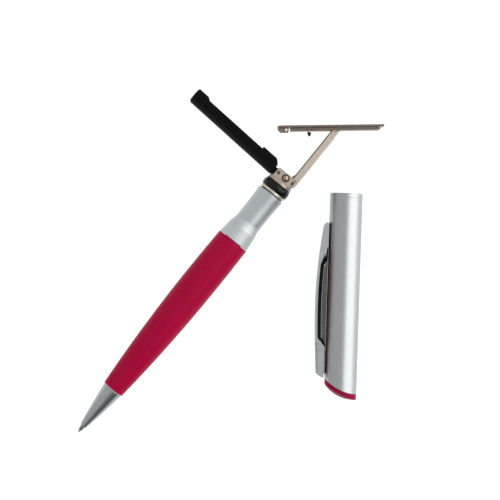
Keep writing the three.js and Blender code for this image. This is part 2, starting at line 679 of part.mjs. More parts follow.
function stampArm() {
  const half = STAMP_ARM_INNER;
  const outer = STAMP_ARM_WIDTH - STAMP_ARM_INNER;
  const high = STAMP_ARM_HEIGHT / 2;
  const lugFrom = cheekFront + CHEEK_LENGTH - pinStation + FIT;
  const lug = [[lugFrom, half], [lugFrom, half + STOP_LUG_HEIGHT],
    [lugFrom + STOP_LUG_LENGTH / 2, half + STOP_LUG_HEIGHT], [lugFrom + STOP_LUG_LENGTH, half]];
  const turn = THREE.MathUtils.radToDeg(Math.acos(half / outer));
  const plan = [...arc(0, 0, outer, 270, 190, 5), ...arc(0, 0, half, 170, 90, 4), ...lug,
    ...arc(STAMP_ARM_LENGTH, 0, half, 90, 0, 4), ...arc(STAMP_ARM_LENGTH, 0, outer, -turn, -90, 3)];
  const inner = high - STAMP_ARM_WALL;
  const root = lugFrom + STOP_LUG_LENGTH + FIT;
  const end = STAMP_ARM_LENGTH + half + 1;
  const floor = STAMP_ARM_WALL - outer;
  const channel = box(Math.max(root, STAMP_ARM_SOLID_ROOT), end, floor, half + 1, -inner, inner);
  const fork = box(STAMP_ARM_LENGTH - 2 * half, end, -outer - 1, half + 1, -inner, inner);
  const studRoom = STUD_TIP_RADIUS + 2 * RUN;
  const studHole = across(STAMP_ARM_LENGTH - STUD_FROM_PIVOT, 0, studRoom, studRoom, -outer - 1, half + 1);
  const inCap = turned([[-outer - 1, 0], [-outer - 1, capBore - FIT], [end, capBore - FIT], [end, 0]],
    WIDE_SIDES).translate([0, -STAMP_PIN_OFFSET, 0]);
  let arm = raised(plan, -high, high).intersect(inCap).subtract(channel).subtract(fork).subtract(studHole);
  for (const station of [0, STAMP_ARM_LENGTH]) {
    arm = arm.subtract(standing(station, 0, PIN_RADIUS + FIT / 2, -high - 1, high + 1));
  }
  return arm;
}

function platePivotPin() {
  const high = STAMP_ARM_HEIGHT / 2 - FIT / 2;
  return standing(STAMP_ARM_LENGTH, 0, PIN_RADIUS, -high, high, PIN_SIDES - 4);
}

// Stamp plate, drawn with its pivot at the origin, its length along X and its face towards +Y

const plateUnderside = PLATE_FACE_HEIGHT - PLATE_THICKNESS;
const plateLeft = -PLATE_LEFT_REACH + END_CLIP_WALL + FIT;
const plateRight = PLATE_LENGTH - PLATE_LEFT_REACH;

function stampPlate() {
  return box(plateLeft, plateRight, plateUnderside, PLATE_FACE_HEIGHT, -PLATE_WIDTH / 2, PLATE_WIDTH / 2);
}

// The rail stands on edge under the plate and turns on the pivot pin between the arm's fork.
// To the right it is a block as wide as its two skirts, which run along both sides of the arm.
function plateRail() {
  const half = RAIL_WIDTH / 2;
  const left = END_CLIP_LENGTH + RAIL_LEFT_GAP - PLATE_LEFT_REACH;
  const right = plateRight - RAIL_RIGHT_SHORT;
  const top = plateUnderside - FIT / 2;
  const foot = 0.12;
  const side = [[left, foot], [right - 0.3, foot], [right, foot + 0.3], [right, top - RAIL_RIGHT_GAP],
    [RAIL_LUG_RADIUS + 0.4, top - RAIL_RIGHT_GAP], [RAIL_LUG_RADIUS, top], [left, top]];
  const lugHalf = STAMP_ARM_HEIGHT / 2 - STAMP_ARM_WALL - FIT;
  const lug = standing(0, 0, RAIL_LUG_RADIUS, -lugHalf, lugHalf);
  const hole = standing(0, 0, PIN_RADIUS + FIT / 2, -lugHalf - 1, lugHalf + 1);
  const bore = STUD_SHANK_RADIUS + FIT / 2;
  const studHole = across(-STUD_FROM_PIVOT, 0, bore, bore, -1, top + 1);
  const skirtInner = STAMP_ARM_HEIGHT / 2 + RUN;
  const skirtOuter = skirtInner + END_CLIP_WALL;
  const beyondArm = STAMP_ARM_WIDTH - STAMP_ARM_INNER + 2 * RUN;
  const arm = box(left - 1, beyondArm, -1, top + 1, -skirtInner, skirtInner);
  const notch = box(-STUD_FROM_PIVOT - RAIL_SKIRT_NOTCH, -STUD_FROM_PIVOT + RAIL_SKIRT_NOTCH,
    foot - 1, foot + (top - foot) / 2, -skirtOuter - 1, skirtOuter + 1);
  const skirts = raised(side, -skirtOuter, skirtOuter).subtract(arm).subtract(notch);
  return raised(side, -half, half).add(skirts).add(lug).subtract(hole).subtract(studHole);
}

// End clip: a wall that closes the plate's left end and two side flaps that straddle the arm
function plateEndClip() {
  const left = -PLATE_LEFT_REACH;
  const right = left + END_CLIP_LENGTH;
  const bottom = PLATE_FACE_HEIGHT - END_CLIP_DEPTH;
  const wallEnd = left + END_CLIP_WALL;
  const under = plateUnderside - FIT / 2;
  const flapInner = STAMP_ARM_HEIGHT / 2 + 2 * FIT;
  const flapOuter = flapInner + END_CLIP_WALL;
  const side = [[left, PLATE_FACE_HEIGHT], [left, 0.45 * PLATE_FACE_HEIGHT], [left + 0.9, bottom],
    [right, bottom], [right, under], [wallEnd, under], [wallEnd, PLATE_FACE_HEIGHT]];
  const bridge = box(left, wallEnd, STAMP_ARM_INNER + FIT, PLATE_FACE_HEIGHT, -flapOuter, flapOuter);
  return raised(side, flapInner, flapOuter).add(raised(side, -flapOuter, -flapInner)).add(bridge);
}

// Stud: a sleeve that straddles the rail and a tip with a thin shank up through the rail

function studSleeve() {
  const bore = STUD_SHANK_RADIUS + FIT / 2;
  const top = plateUnderside - FIT / 2;
  const radius = STUD_SLEEVE_RADIUS;
  const sleeve = across(-STUD_FROM_PIVOT, 0, radius, radius, -STUD_SLEEVE_DROP, top);
  const saddle = box(-STUD_FROM_PIVOT - 1, -STUD_FROM_PIVOT + 1, -FIT / 2, top + 1,
    -RAIL_WIDTH / 2 - FIT / 2, RAIL_WIDTH / 2 + FIT / 2);
  return sleeve.subtract(saddle).subtract(across(-STUD_FROM_PIVOT, 0, bore, bore, -1, 1, 12));
}

function studTip() {
  const top = -STUD_SLEEVE_DROP - FIT / 2;
  const end = STUD_TAPER * STUD_TIP_RADIUS;
  const shankRadius = STUD_SHANK_RADIUS;
  const cone = across(-STUD_FROM_PIVOT, 0, end, STUD_TIP_RADIUS, top - STUD_TIP_LENGTH, top, 12);
  const shank = across(-STUD_FROM_PIVOT, 0, shankRadius, shankRadius, top - FIT, plateUnderside - FIT, 12);
  return cone.add(shank);
}

// Cap, drawn along X from its mouth, with the clip on its -Y side

// Where the cap's bowed, slanted end lies at a distance from its axis
function endStation(y) {
  return CAP_LENGTH + CAP_END_SLOPE * y - CAP_END_BOW * (y / capRadius) ** 2;
}

// Everything beyond the slanted end, or before it, as a cutter
function slantBlock(offset, side) {
  const reach = 1.3 * capRadius;
  const steps = 12;
  const curve = Array.from({ length: steps + 1 }, (_, i) => {
    const y = reach * (1 - (2 * i) / steps);
    return [endStation(y) + offset, y];
  });
  const far = CAP_LENGTH + 4 * side * capRadius;
  const outline = [...curve, [far, -reach], [far, reach]];
  return raised(side > 0 ? outline : outline.reverse(), -reach, reach);
}

function capTube() {
  const edge = 0.12;
  const beyond = CAP_LENGTH + capRadius;
  const body = tube([[0, capRadius - edge], [edge, capRadius], [beyond, capRadius]],
    [[0, capBore], [beyond, capBore]], WIDE_SIDES);
  const screwHole = SCREW_RADIUS + FIT / 2;
  return body.subtract(slantBlock(0, 1))
    .subtract(across(screwStation, 0, screwHole, screwHole, -capRadius - 1, -capBore + 1));
}

function endPlug() {
  const body = turned([[plugFront, 0], [plugFront, capBore - FIT / 2],
    [CAP_LENGTH + capRadius, capBore - FIT / 2], [CAP_LENGTH + capRadius, 0]], WIDE_SIDES);
  const floor = CAP_LENGTH - INSERT_SPIGOT - FIT;
  const socket = turned([[floor, 0], [floor, INSERT_SPIGOT + FIT],
    [CAP_LENGTH + capRadius, INSERT_SPIGOT + FIT], [CAP_LENGTH + capRadius, 0]], PIN_SIDES);
  return body.subtract(slantBlock(-FIT, 1)).subtract(socket);
}

// Red insert: a shallow dome over the slanted end, with a spigot in the plug
function capInsert() {
  const tilt = radians(INSERT_TILT);
  const lift = INSERT_BULGE - INSERT_DOME_RADIUS;
  const dome = toSolid(new THREE.SphereGeometry(INSERT_DOME_RADIUS, 48, 32)
    .translate(CAP_LENGTH + lift * Math.cos(tilt), -lift * Math.sin(tilt), 0));
  const rim = capRadius - FIT / 2;
  const body = turned([[CAP_LENGTH - capRadius, 0], [CAP_LENGTH - capRadius, rim],
    [CAP_LENGTH + 2 * capRadius, rim], [CAP_LENGTH + 2 * capRadius, 0]], WIDE_SIDES);
  const spigot = turned([[CAP_LENGTH - INSERT_SPIGOT, 0], [CAP_LENGTH - INSERT_SPIGOT, INSERT_SPIGOT],
    [CAP_LENGTH + 1, INSERT_SPIGOT], [CAP_LENGTH + 1, 0]], PIN_SIDES);
  return body.intersect(dome).subtract(slantBlock(FIT, -1)).add(spigot);
}

// Clip: a bowed channel whose side flanges are open between its tip and its root

// A point on the clip's outer face, or below it, at a station along the cap
function clipPoint(station, below) {
  const crest = capRadius + CLIP_CREST_LIFT;
  const height = station < clipCrest
    ? crest - CLIP_TIP_DROP * ((clipCrest - station) / (clipCrest - clipTip)) ** 2
    : crest - CLIP_ROOT_DROP * ((station - clipCrest) / (clipPivot - clipCrest)) ** 1.6;
  return [station, below - height];
}

function clipCurve(from, to, steps, below) {
  return Array.from({ length: steps + 1 }, (_, i) => clipPoint(from + ((to - from) * i) / steps, below));
}

// What is cut away outside the clip's tip so that it ends in a quarter of an ellipse
function tipRound() {
  const [station, top] = clipPoint(clipTip + CLIP_TIP_ROUND, 0);
  const edge = -capRadius - CLIP_TIP_EDGE;
  const curve = arc(0, 0, 1, 270, 180, 8).map(([x, y]) => [
    station + (CLIP_TIP_ROUND + FIT) * x, edge - (edge - top) * -y]);
  const clear = 2 * CLIP_HALF_WIDTH;
  return raised([[station, top - clear], ...curve, [clipTip - clear, edge], [clipTip - clear, top - clear]],
    -clear, clear);
}

function clip() {
  const foot = -capRadius - CLIP_TUBE_GAP;
  const tipFoot = -capRadius - CLIP_TIP_GAP;
  const corner = 0.3;
  const rootTop = clipRoot - 1.4;
  const tip = [[clipTip + corner, tipFoot], [clipTip - corner / 2, tipFoot - corner]];
  const strap = [...clipCurve(clipTip, rootTop, 14, 0), ...clipCurve(rootTop, clipTip, 14, CLIP_STRAP)];
  const front = [...clipCurve(clipTip, windowFront, 4, 0), clipPoint(windowFront, CLIP_STRAP),
    [windowFront - WINDOW_FRONT_SLANT, tipFoot], ...tip];
  const rear = [...clipCurve(windowRear, rootTop, 4, 0), [clipRoot - 2 * corner, foot - 1.6],
    [clipRoot, foot - corner], [clipRoot - corner, foot], [windowRear + WINDOW_REAR_SLANT, foot],
    clipPoint(windowRear, CLIP_STRAP)];
  const noseEnd = clipTip + CLIP_NOSE_LENGTH;
  const nose = [...clipCurve(clipTip, noseEnd, 1, 0), [noseEnd, tipFoot], ...tip];
  const half = CLIP_HALF_WIDTH;
  const inner = half - CLIP_SHEET;
  let made = raised(strap, -half, half).add(raised(nose, -half, half));
  for (const outline of [front, rear]) {
    made = made.add(raised(outline, inner, half)).add(raised(outline, -half, -inner));
  }
  const hole = CLIP_PIN_RADIUS + FIT / 2;
  const blind = half - CLIP_PIN_SKIN;
  return made.subtract(standing(clipPivot, -capRadius - CLIP_PIVOT_LIFT, hole, -blind, blind))
    .subtract(tipRound());
}

// Where the windows' rear ends slant down to the tube, from before their edge to past it, and
// widened by a margin before and behind
function rearLeg(before, behind) {
  const seat = -capRadius - FIT;
  const from = windowRear - LINER_REAR_LEG - before;
  const to = windowRear + LINER_REAR_LEG / 2 + behind;
  const high = CLIP_STRAP + LINER_THICKNESS / 2;
  return [clipPoint(to, high), clipPoint(from, high),
    [from + WINDOW_REAR_SLANT, seat], [to + WINDOW_REAR_SLANT, seat]];
}

// Liner: a strip under the strap, with legs that darken both slanted ends of the windows
function clipLiner() {
  const half = CLIP_HALF_WIDTH - CLIP_SHEET - FIT;
  const seat = -capRadius - FIT;
  const foot = windowFront - WINDOW_FRONT_SLANT;
  const from = clipTip + LINER_FROM_TIP;
  const to = windowRear + LINER_PAST_WINDOW;
  const under = CLIP_STRAP + FIT / 2 + LINER_THICKNESS;
  const outline = [...clipCurve(from, to, 10, CLIP_STRAP + FIT / 2),
    ...clipCurve(to, windowFront + 4 * FIT, 8, under),
    [foot + LINER_FRONT_LEG, seat], [foot - LINER_REAR_LEG / 2, seat],
    ...clipCurve(windowFront - LINER_REAR_LEG, from, 3, under)];
  const inner = half - LINER_REAR_LEG_WIDTH;
  const legs = raised(rearLeg(0, 0), inner, half).add(raised(rearLeg(0, 0), -half, -inner));
  return raised(outline, -half, half).add(legs);
}

// How far the base's top lies under the clip's outer face
const baseBelow = CLIP_STRAP + LINER_THICKNESS + 2 * FIT;

// Base: a rail screwed on the tube that follows the liner, with an ear for the clip's pin
function clipBase() {
  const half = CLIP_HALF_WIDTH - CLIP_SHEET - 2 * FIT;
  const seat = -capRadius - FIT;
  const ear = -capRadius - CLIP_PIVOT_LIFT - CLIP_PIN_RADIUS - 2 * FIT;
  const front = windowFront - WINDOW_FRONT_SLANT + LINER_FRONT_LEG + 2 * FIT;
  const topFront = windowFront + 6 * FIT;
  const outline = [[front, seat], ...clipCurve(topFront, clipPivot - 2.2, 12, baseBelow),
    [clipPivot - 1.4, ear], [clipPivot + 1.2, ear],
    [clipPivot + 1.8, seat - 0.3], [clipPivot + 1.8, seat]];
  const pinHole = CLIP_PIN_RADIUS + FIT / 2;
  const screwHole = SCREW_RADIUS + FIT / 2;
  const inner = half - LINER_REAR_LEG_WIDTH;
  const notch = rearLeg(2 * FIT, LINER_LIFT_ROOM);
  return raised(outline, -half, half)
    .subtract(raised(notch, inner, half + 1))
    .subtract(raised(notch, -half - 1, -inner))
    .subtract(standing(clipPivot, -capRadius - CLIP_PIVOT_LIFT, pinHole, -half - 1, half + 1))
    .subtract(across(screwStation, 0, screwHole, screwHole, ear - 1, seat + 1));
}

function clipPin() {
  const half = CLIP_HALF_WIDTH - CLIP_PIN_SKIN - FIT / 2;
  return standing(clipPivot, -capRadius - CLIP_PIVOT_LIFT, CLIP_PIN_RADIUS, -half, half, PIN_SIDES - 4);
}

function clipScrew() {
  const head = clipPoint(screwStation, baseBelow + FIT)[1];
  return across(screwStation, 0, SCREW_RADIUS, SCREW_RADIUS, head, -capBore - FIT / 2, 12);
}

// Assembly: the pen lies on its crest and the cap on its side, both on the table

const pen = new THREE.Group();
pen.position.z = BARREL_CREST_RADIUS;
pen.rotation.z = radians(PEN_ANGLE);
pen.add(
  piece('writing_ball', writingBall(), steel),
  piece('refill_point', refillPoint(), steel),
  piece('refill_tube', refillTube(), brass),
  piece('nose_cone', noseCone(), noseNickel),
  piece('front_bush', frontBush(), brass),
  piece('red_barrel', redBarrel(), redLacquer),
  piece('twist_housing', twistHousing(), brass),
  piece('cam_sleeve', camSleeve(), whitePlastic),
  piece('mechanism_clip', mechanismClip(), steel),
  piece('refill_socket', refillSocket(), clearPlastic),
  piece('drive_pin', drivePin(), steel),
  piece('collar', collar(), satinSilver),
  piece('stem', stem(), satinSilver),
  piece('retaining_ring', retainingRing(), champagneNickel),
  piece('rubber_ring', rubberRing(), blackRubber),
  piece('seal_washer', sealWasher(), blackRubber),
  piece('hinge_block', hingeBlock(), champagneNickel),
  piece('centre_rivet', centreRivet(), champagneNickel),
  piece('pad_arm_pin', hingePin(PAD_PIN_OFFSET), steel),
  piece('stamp_arm_pin', hingePin(STAMP_PIN_OFFSET), steel),
  piece('torsion_spring', torsionSpring(), steel),
);

const padArm = new THREE.Group();
padArm.position.set(pinStation, PAD_PIN_OFFSET, 0);
padArm.rotation.z = radians(PAD_ARM_OPEN);
padArm.add(
  piece('pad_holder', padHolder(), blackPlastic),
  piece('ink_pad', inkPad(), inkFelt),
);

const arm = new THREE.Group();
arm.position.set(pinStation, STAMP_PIN_OFFSET, 0);
arm.add(
  piece('stamp_arm', stampArm(), champagneNickel),
  piece('plate_pivot_pin', platePivotPin(), steel),
);

const plate = new THREE.Group();
plate.position.x = STAMP_ARM_LENGTH;
plate.rotation.z = radians(-STAMP_PLATE_OPEN);
plate.add(
  piece('stamp_plate', stampPlate(), bronzeNickel),
  piece('plate_rail', plateRail(), bronzeNickel),
  piece('plate_end_clip', plateEndClip(), bronzeNickel),
  piece('stud_sleeve', studSleeve(), champagneNickel),
  piece('stud_tip', studTip(), blackPlastic),
);
arm.add(plate);
pen.add(padArm, arm);

const cap = new THREE.Group();
cap.position.set(...CAP_MOUTH, capRadius);
cap.rotation.z = radians(-90);
cap.add(
  piece('cap_tube', capTube(), satinSilver),
  piece('end_plug', endPlug(), whitePlastic),
  piece('cap_insert', capInsert(), redLacquer),
  piece('clip', clip(), satinSilver),
  piece('clip_liner', clipLiner(), blackPlastic),
  piece('clip_base', clipBase(), bronzeNickel),
  piece('clip_pin', clipPin(), steel),
  piece('clip_screw', clipScrew(), steel),
);

const stampPen = new THREE.Group();
stampPen.add(pen, cap);

// The origin is the middle of the footprint, on the table
const bounds = new THREE.Box3().setFromObject(stampPen, true);
const centre = bounds.getCenter(new THREE.Vector3());
stampPen.position.set(-centre.x, -centre.y, -bounds.min.z);

export default stampPen;
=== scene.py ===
import json
import math

import bmesh
import bpy
from mathutils import Matrix, Vector


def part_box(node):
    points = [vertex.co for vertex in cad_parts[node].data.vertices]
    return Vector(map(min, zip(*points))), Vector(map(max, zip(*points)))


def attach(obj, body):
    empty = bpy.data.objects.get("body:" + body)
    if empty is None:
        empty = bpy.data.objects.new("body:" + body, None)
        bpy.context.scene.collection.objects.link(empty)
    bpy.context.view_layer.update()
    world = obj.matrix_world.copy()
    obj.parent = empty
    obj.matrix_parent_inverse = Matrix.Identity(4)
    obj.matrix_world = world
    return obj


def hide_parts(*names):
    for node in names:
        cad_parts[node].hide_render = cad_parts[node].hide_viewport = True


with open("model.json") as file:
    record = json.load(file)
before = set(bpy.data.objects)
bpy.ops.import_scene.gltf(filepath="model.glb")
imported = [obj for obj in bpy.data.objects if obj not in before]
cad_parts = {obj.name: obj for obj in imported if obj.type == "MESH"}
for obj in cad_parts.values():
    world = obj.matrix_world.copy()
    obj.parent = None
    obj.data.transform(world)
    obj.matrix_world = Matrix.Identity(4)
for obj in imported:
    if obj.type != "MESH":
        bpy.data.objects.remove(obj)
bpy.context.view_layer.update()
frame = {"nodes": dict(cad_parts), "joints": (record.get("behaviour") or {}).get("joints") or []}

scene = bpy.context.scene


# Table, camera and lights
# The pen and its cap lie on a plain white table and are seen from straight above. A large soft
# light stands to the right and a weaker one to the upper left, in a pale room with one dark side.

TABLE_SIZE = 6.0
TABLE_GREY = 0.25
TABLE_GLOW = 0.93
table_mesh = bpy.data.meshes.new("table")
half_table = TABLE_SIZE / 2
table_mesh.from_pydata([(-half_table, -half_table, 0), (half_table, -half_table, 0),
                        (half_table, half_table, 0), (-half_table, half_table, 0)], [], [(0, 1, 2, 3)])
table = bpy.data.objects.new("table", table_mesh)
scene.collection.objects.link(table)

table_white = bpy.data.materials.new("table_white")
table_white.use_nodes = True
table_shader = table_white.node_tree.nodes["Principled BSDF"]
table_shader.inputs["Base Color"].default_value = (TABLE_GREY, TABLE_GREY, TABLE_GREY, 1)
table_shader.inputs["Roughness"].default_value = 0.6
table_shader.inputs["Emission Color"].default_value = (1, 1, 1, 1)
table_shader.inputs["Emission Strength"].default_value = TABLE_GLOW
table_mesh.materials.append(table_white)

CAMERA_TURN = math.radians(1.84)
CAMERA_ANGLE = math.radians(15)
FRAME_WIDTH = 0.155
AIM_X, AIM_Y, AIM_HEIGHT = 0.00568, 0.00459, 0.005
camera = bpy.data.objects.new("camera", bpy.data.cameras.new("camera"))
camera.data.sensor_fit = "HORIZONTAL"
camera.data.angle = CAMERA_ANGLE
camera.location = (AIM_X, AIM_Y, AIM_HEIGHT + FRAME_WIDTH / 2 / math.tan(CAMERA_ANGLE / 2))
camera.rotation_euler = (0, 0, CAMERA_TURN)
camera.data.clip_start = 0.01
scene.collection.objects.link(camera)
scene.camera = camera
scene.view_settings.view_transform = "Standard"


def soft_light(name, place, size, power):
    """A square soft light that faces the middle of the table."""
    lamp = bpy.data.lights.new(name, "AREA")
    lamp.size = size
    lamp.energy = power
    light = bpy.data.objects.new(name, lamp)
    light.location = place
    light.rotation_euler = (-Vector(place)).to_track_quat("-Z", "Y").to_euler()
    scene.collection.objects.link(light)


soft_light("right_light", (0.60, 0.09, 0.46), 1.0, 7.2)
soft_light("left_light", (-0.50, 0.55, 0.60), 0.7, 0.45)

ROOM_TINT = (0.98, 1.0, 1.0, 1)
ROOM_LIGHT = 0.85
ROOM_DARK = 0.2
DARK_WAY = (0.38, -0.85, 0.35)
DARK_START, DARK_FULL = 0.42, 0.93
room = bpy.data.worlds.new("room")
room.use_nodes = True
room_nodes, room_link = room.node_tree.nodes, room.node_tree.links.new
way = room_nodes.new("ShaderNodeTexCoord")
toward = room_nodes.new("ShaderNodeVectorMath")
toward.operation = "DOT_PRODUCT"
toward.inputs[1].default_value = Vector(DARK_WAY).normalized()
room_link(way.outputs["Generated"], toward.inputs[0])
fall = room_nodes.new("ShaderNodeMapRange")
fall.interpolation_type = "SMOOTHSTEP"
fall.inputs["From Min"].default_value = DARK_START
fall.inputs["From Max"].default_value = DARK_FULL
fall.inputs["To Min"].default_value = ROOM_LIGHT
fall.inputs["To Max"].default_value = ROOM_DARK
room_link(toward.outputs["Value"], fall.inputs["Value"])
room_link(fall.outputs[0], room_nodes["Background"].inputs["Strength"])
room_nodes["Background"].inputs["Color"].default_value = ROOM_TINT
scene.world = room


# Refill: ball, point and tube
# A short standard metal refill. The ball is hard steel in a dark turned steel point, and the
# point is pressed into a brass tube that the barrel hides.

MM = 0.001
joints = {joint["name"]: joint for joint in frame["joints"]}
BALL_RADIUS = 0.42
pen_axis = Vector(joints["twist"]["axis"]).normalized()
pen_slant = math.atan2(pen_axis.y, pen_axis.x)
ball_low, ball_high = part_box("writing_ball")
ball_tip = (ball_low + ball_high) / 2 - pen_axis * BALL_RADIUS * MM
pen_place = Matrix.Translation(ball_tip) @ Matrix.Rotation(pen_slant, 4, "Z")


def socket_of(tree, name):
    """The identifier of a node tree's named input."""
    return next(item.identifier for item in tree.interface.items_tree
                if item.name == name and item.in_out == "INPUT")


def link_chain(tree, first, *rest):
    """Links each node's geometry to the next one's, in turn."""
    for node in rest:
        tree.links.new(first.outputs[0], node.inputs[0])
        first = node


LATHE_WELD = 1e-7


def make_lathe():
    """Geometry nodes that turn a row of (station, radius) points about the X axis."""
    tree = bpy.data.node_groups.new("lathe", "GeometryNodeTree")
    face = tree.interface
    face.new_socket("Outline", in_out="INPUT", socket_type="NodeSocketGeometry")
    face.new_socket("Sides", in_out="INPUT", socket_type="NodeSocketInt")
    face.new_socket("Finish", in_out="INPUT", socket_type="NodeSocketMaterial")
    face.new_socket("Turned", in_out="OUTPUT", socket_type="NodeSocketGeometry")
    new, link = tree.nodes.new, tree.links.new
    given, result = new("NodeGroupInput"), new("NodeGroupOutput")

    def math_of(operation, a, b=None):
        node = new("ShaderNodeMath")
        node.operation = operation
        for value, socket in zip((a, b), node.inputs):
            if isinstance(value, (int, float)):
                socket.default_value = value
            elif value is not None:
                link(value, socket)
        return node.outputs[0]

    count = new("GeometryNodeAttributeDomainSize")
    link(given.outputs["Outline"], count.inputs[0])
    points = count.outputs["Point Count"]
    grid = new("GeometryNodeMeshGrid")
    link(math_of("ADD", given.outputs["Sides"], 1), grid.inputs["Vertices X"])
    link(points, grid.inputs["Vertices Y"])
    index = new("GeometryNodeInputIndex").outputs[0]
    step = math_of("FLOOR", math_of("DIVIDE", math_of("ADD", index, 0.5), points))
    place = math_of("SUBTRACT", index, math_of("MULTIPLY", step, points))
    position = new("GeometryNodeInputPosition")
    sample = new("GeometryNodeSampleIndex")
    sample.data_type = "FLOAT_VECTOR"
    sample.clamp = True
    link(given.outputs["Outline"], sample.inputs["Geometry"])
    link(position.outputs[0], sample.inputs["Value"])
    link(place, sample.inputs["Index"])
    parts = new("ShaderNodeSeparateXYZ")
    link(sample.outputs[0], parts.inputs[0])
    turn = math_of("DIVIDE", math_of("MULTIPLY", step, 2 * math.pi), given.outputs["Sides"])
    side = math_of("MULTIPLY", parts.outputs["Y"], math_of("COSINE", turn))
    up = math_of("MULTIPLY", parts.outputs["Y"], math_of("SINE", turn))
    combine = new("ShaderNodeCombineXYZ")
    link(parts.outputs["X"], combine.inputs["X"])
    link(side, combine.inputs["Y"])
    link(up, combine.inputs["Z"])
    move = new("GeometryNodeSetPosition")
    link(combine.outputs[0], move.inputs["Position"])
    weld = new("GeometryNodeMergeByDistance")
    weld.inputs["Distance"].default_value = LATHE_WELD
    smooth = new("GeometryNodeSetShadeSmooth")
    realize = new("GeometryNodeRealizeInstances")
    finish = new("GeometryNodeSetMaterial")
    link(given.outputs["Finish"], finish.inputs["Material"])
    link_chain(tree, grid, move, weld, smooth, realize, finish, result)
    return tree


lathe = make_lathe()
EASE_SHARE = 0.42
HOLD_SHARE = 0.48
EASE_STEPS = 5


def eased(outline, closed=True):
    """Rounds each corner of an outline whose point has a third number, its rounding."""
    made = []
    total = len(outline)
    for i, point in enumerate(outline):
        here = Vector(point[:2])
        ease = point[2] if len(point) > 2 else 0
        if not ease or (not closed and i in (0, total - 1)):
            made.append(tuple(here))
            continue
        before = Vector(outline[i - 1][:2]) - here
        after = Vector(outline[(i + 1) % total][:2]) - here
        reach = min(ease, EASE_SHARE * before.length, EASE_SHARE * after.length)
        before.normalize()
        after.normalize()
        hold = HOLD_SHARE * reach / EASE_SHARE
        made.append(tuple(here + before * hold))
        for k in range(EASE_STEPS + 1):
            share = k / EASE_STEPS
            made.append(tuple(here + before * reach * (1 - share) ** 2 + after * reach * share ** 2))
        made.append(tuple(here + after * hold))
    return made


def applied(blank):
    """Gives a blank the mesh that its modifiers make of it."""
    bpy.context.view_layer.update()
    shape = blank.evaluated_get(bpy.context.evaluated_depsgraph_get())
    mesh = bpy.data.meshes.new_from_object(shape)
    blank.modifiers.clear()
    rough = blank.data
    blank.data = mesh
    bpy.data.meshes.remove(rough)
    mesh.name = blank.name
    return blank


def facing_out(solid):
    """Turns a solid's faces outward."""
    build = bmesh.new()
    build.from_mesh(solid.data)
    bmesh.ops.recalc_face_normals(build, faces=build.faces)
    build.to_mesh(solid.data)
    build.free()
    return solid


def turned(name, outline, finish, sides=128, closed=True):
    """A piece turned about the X axis from (station, radius, rounding) points in millimetres."""
    points = eased(outline, closed)
    if closed:
        points.append(points[0])
    mesh = bpy.data.meshes.new(name)
    mesh.from_pydata([(x * MM, radius * MM, 0) for x, radius in points], [], [])
    blank = bpy.data.objects.new(name, mesh)
    scene.collection.objects.link(blank)
    cut = blank.modifiers.new("lathe", "NODES")
    cut.node_group = lathe
    cut[socket_of(lathe, "Sides")] = sides
    cut[socket_of(lathe, "Finish")] = finish
    return facing_out(applied(blank))


def fitted(piece, place, body, slot, *nodes):
    """Lays a finished piece where it belongs and says which body and nodes it has. The slot is not used."""
    piece.data.transform(place)
    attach(piece, body)
    if nodes:
        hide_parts(*nodes)


def linear(code):
    """The linear colour of a six-figure hex code."""
    parts = [int(code[i:i + 2], 16) / 255 for i in (0, 2, 4)]
    return [c / 12.92 if c <= 0.04045 else ((c + 0.055) / 1.055) ** 2.4 for c in parts] + [1]


BUMP_DISTANCE = 0.00004


def finish_of(name, roughness, metallic, darker, lighter, grain, turn=0.0, uneven=0.06, bump=0.05,
              blotch=400.0):
    """A surface whose grain is drawn out along one way: two shades, an uneven sheen, a fine bump."""
    material = bpy.data.materials.new(name)
    material.use_nodes = True
    nodes, link = material.node_tree.nodes, material.node_tree.links.new
    shader = nodes["Principled BSDF"]
    shader.inputs["Metallic"].default_value = metallic
    place = nodes.new("ShaderNodeTexCoord")
    swing = nodes.new("ShaderNodeMapping")
    swing.vector_type = "TEXTURE"
    swing.inputs["Rotation"].default_value = (0, 0, turn)
    link(place.outputs["Object"], swing.inputs["Vector"])
    stretch = nodes.new("ShaderNodeMapping")
    stretch.inputs["Scale"].default_value = grain
    link(swing.outputs[0], stretch.inputs["Vector"])
    lines = nodes.new("ShaderNodeTexNoise")
    lines.inputs["Scale"].default_value = 1.0
    lines.inputs["Detail"].default_value = 3.0
    link(stretch.outputs[0], lines.inputs["Vector"])
    patches = nodes.new("ShaderNodeTexNoise")
    patches.inputs["Scale"].default_value = blotch
    patches.inputs["Detail"].default_value = 2.0
    link(place.outputs["Object"], patches.inputs["Vector"])
    shades = nodes.new("ShaderNodeMix")
    shades.data_type = "RGBA"
    shades.inputs["A"].default_value = linear(darker)
    shades.inputs["B"].default_value = linear(lighter)
    blend = nodes.new("ShaderNodeMath")
    blend.operation = "MULTIPLY_ADD"
    link(lines.outputs["Fac"], blend.inputs[0])
    blend.inputs[1].default_value = 0.5
    half = nodes.new("ShaderNodeMath")
    half.operation = "MULTIPLY"
    half.inputs[1].default_value = 0.5
    link(patches.outputs["Fac"], half.inputs[0])
    link(half.outputs[0], blend.inputs[2])
    link(blend.outputs[0], shades.inputs["Factor"])
    link(shades.outputs["Result"], shader.inputs["Base Color"])
    sheen = nodes.new("ShaderNodeMapRange")
    sheen.inputs["From Min"].default_value = 0.3
    sheen.inputs["From Max"].default_value = 0.7
    sheen.inputs["To Min"].default_value = roughness - uneven
    sheen.inputs["To Max"].default_value = roughness + uneven
    link(blend.outputs[0], sheen.inputs["Value"])
    link(sheen.outputs[0], shader.inputs["Roughness"])
    relief = nodes.new("ShaderNodeBump")
    relief.inputs["Strength"].default_value = bump
    relief.inputs["Distance"].default_value = BUMP_DISTANCE
    link(lines.outputs["Fac"], relief.inputs["Height"])
    link(relief.outputs[0], shader.inputs["Normal"])
    return material


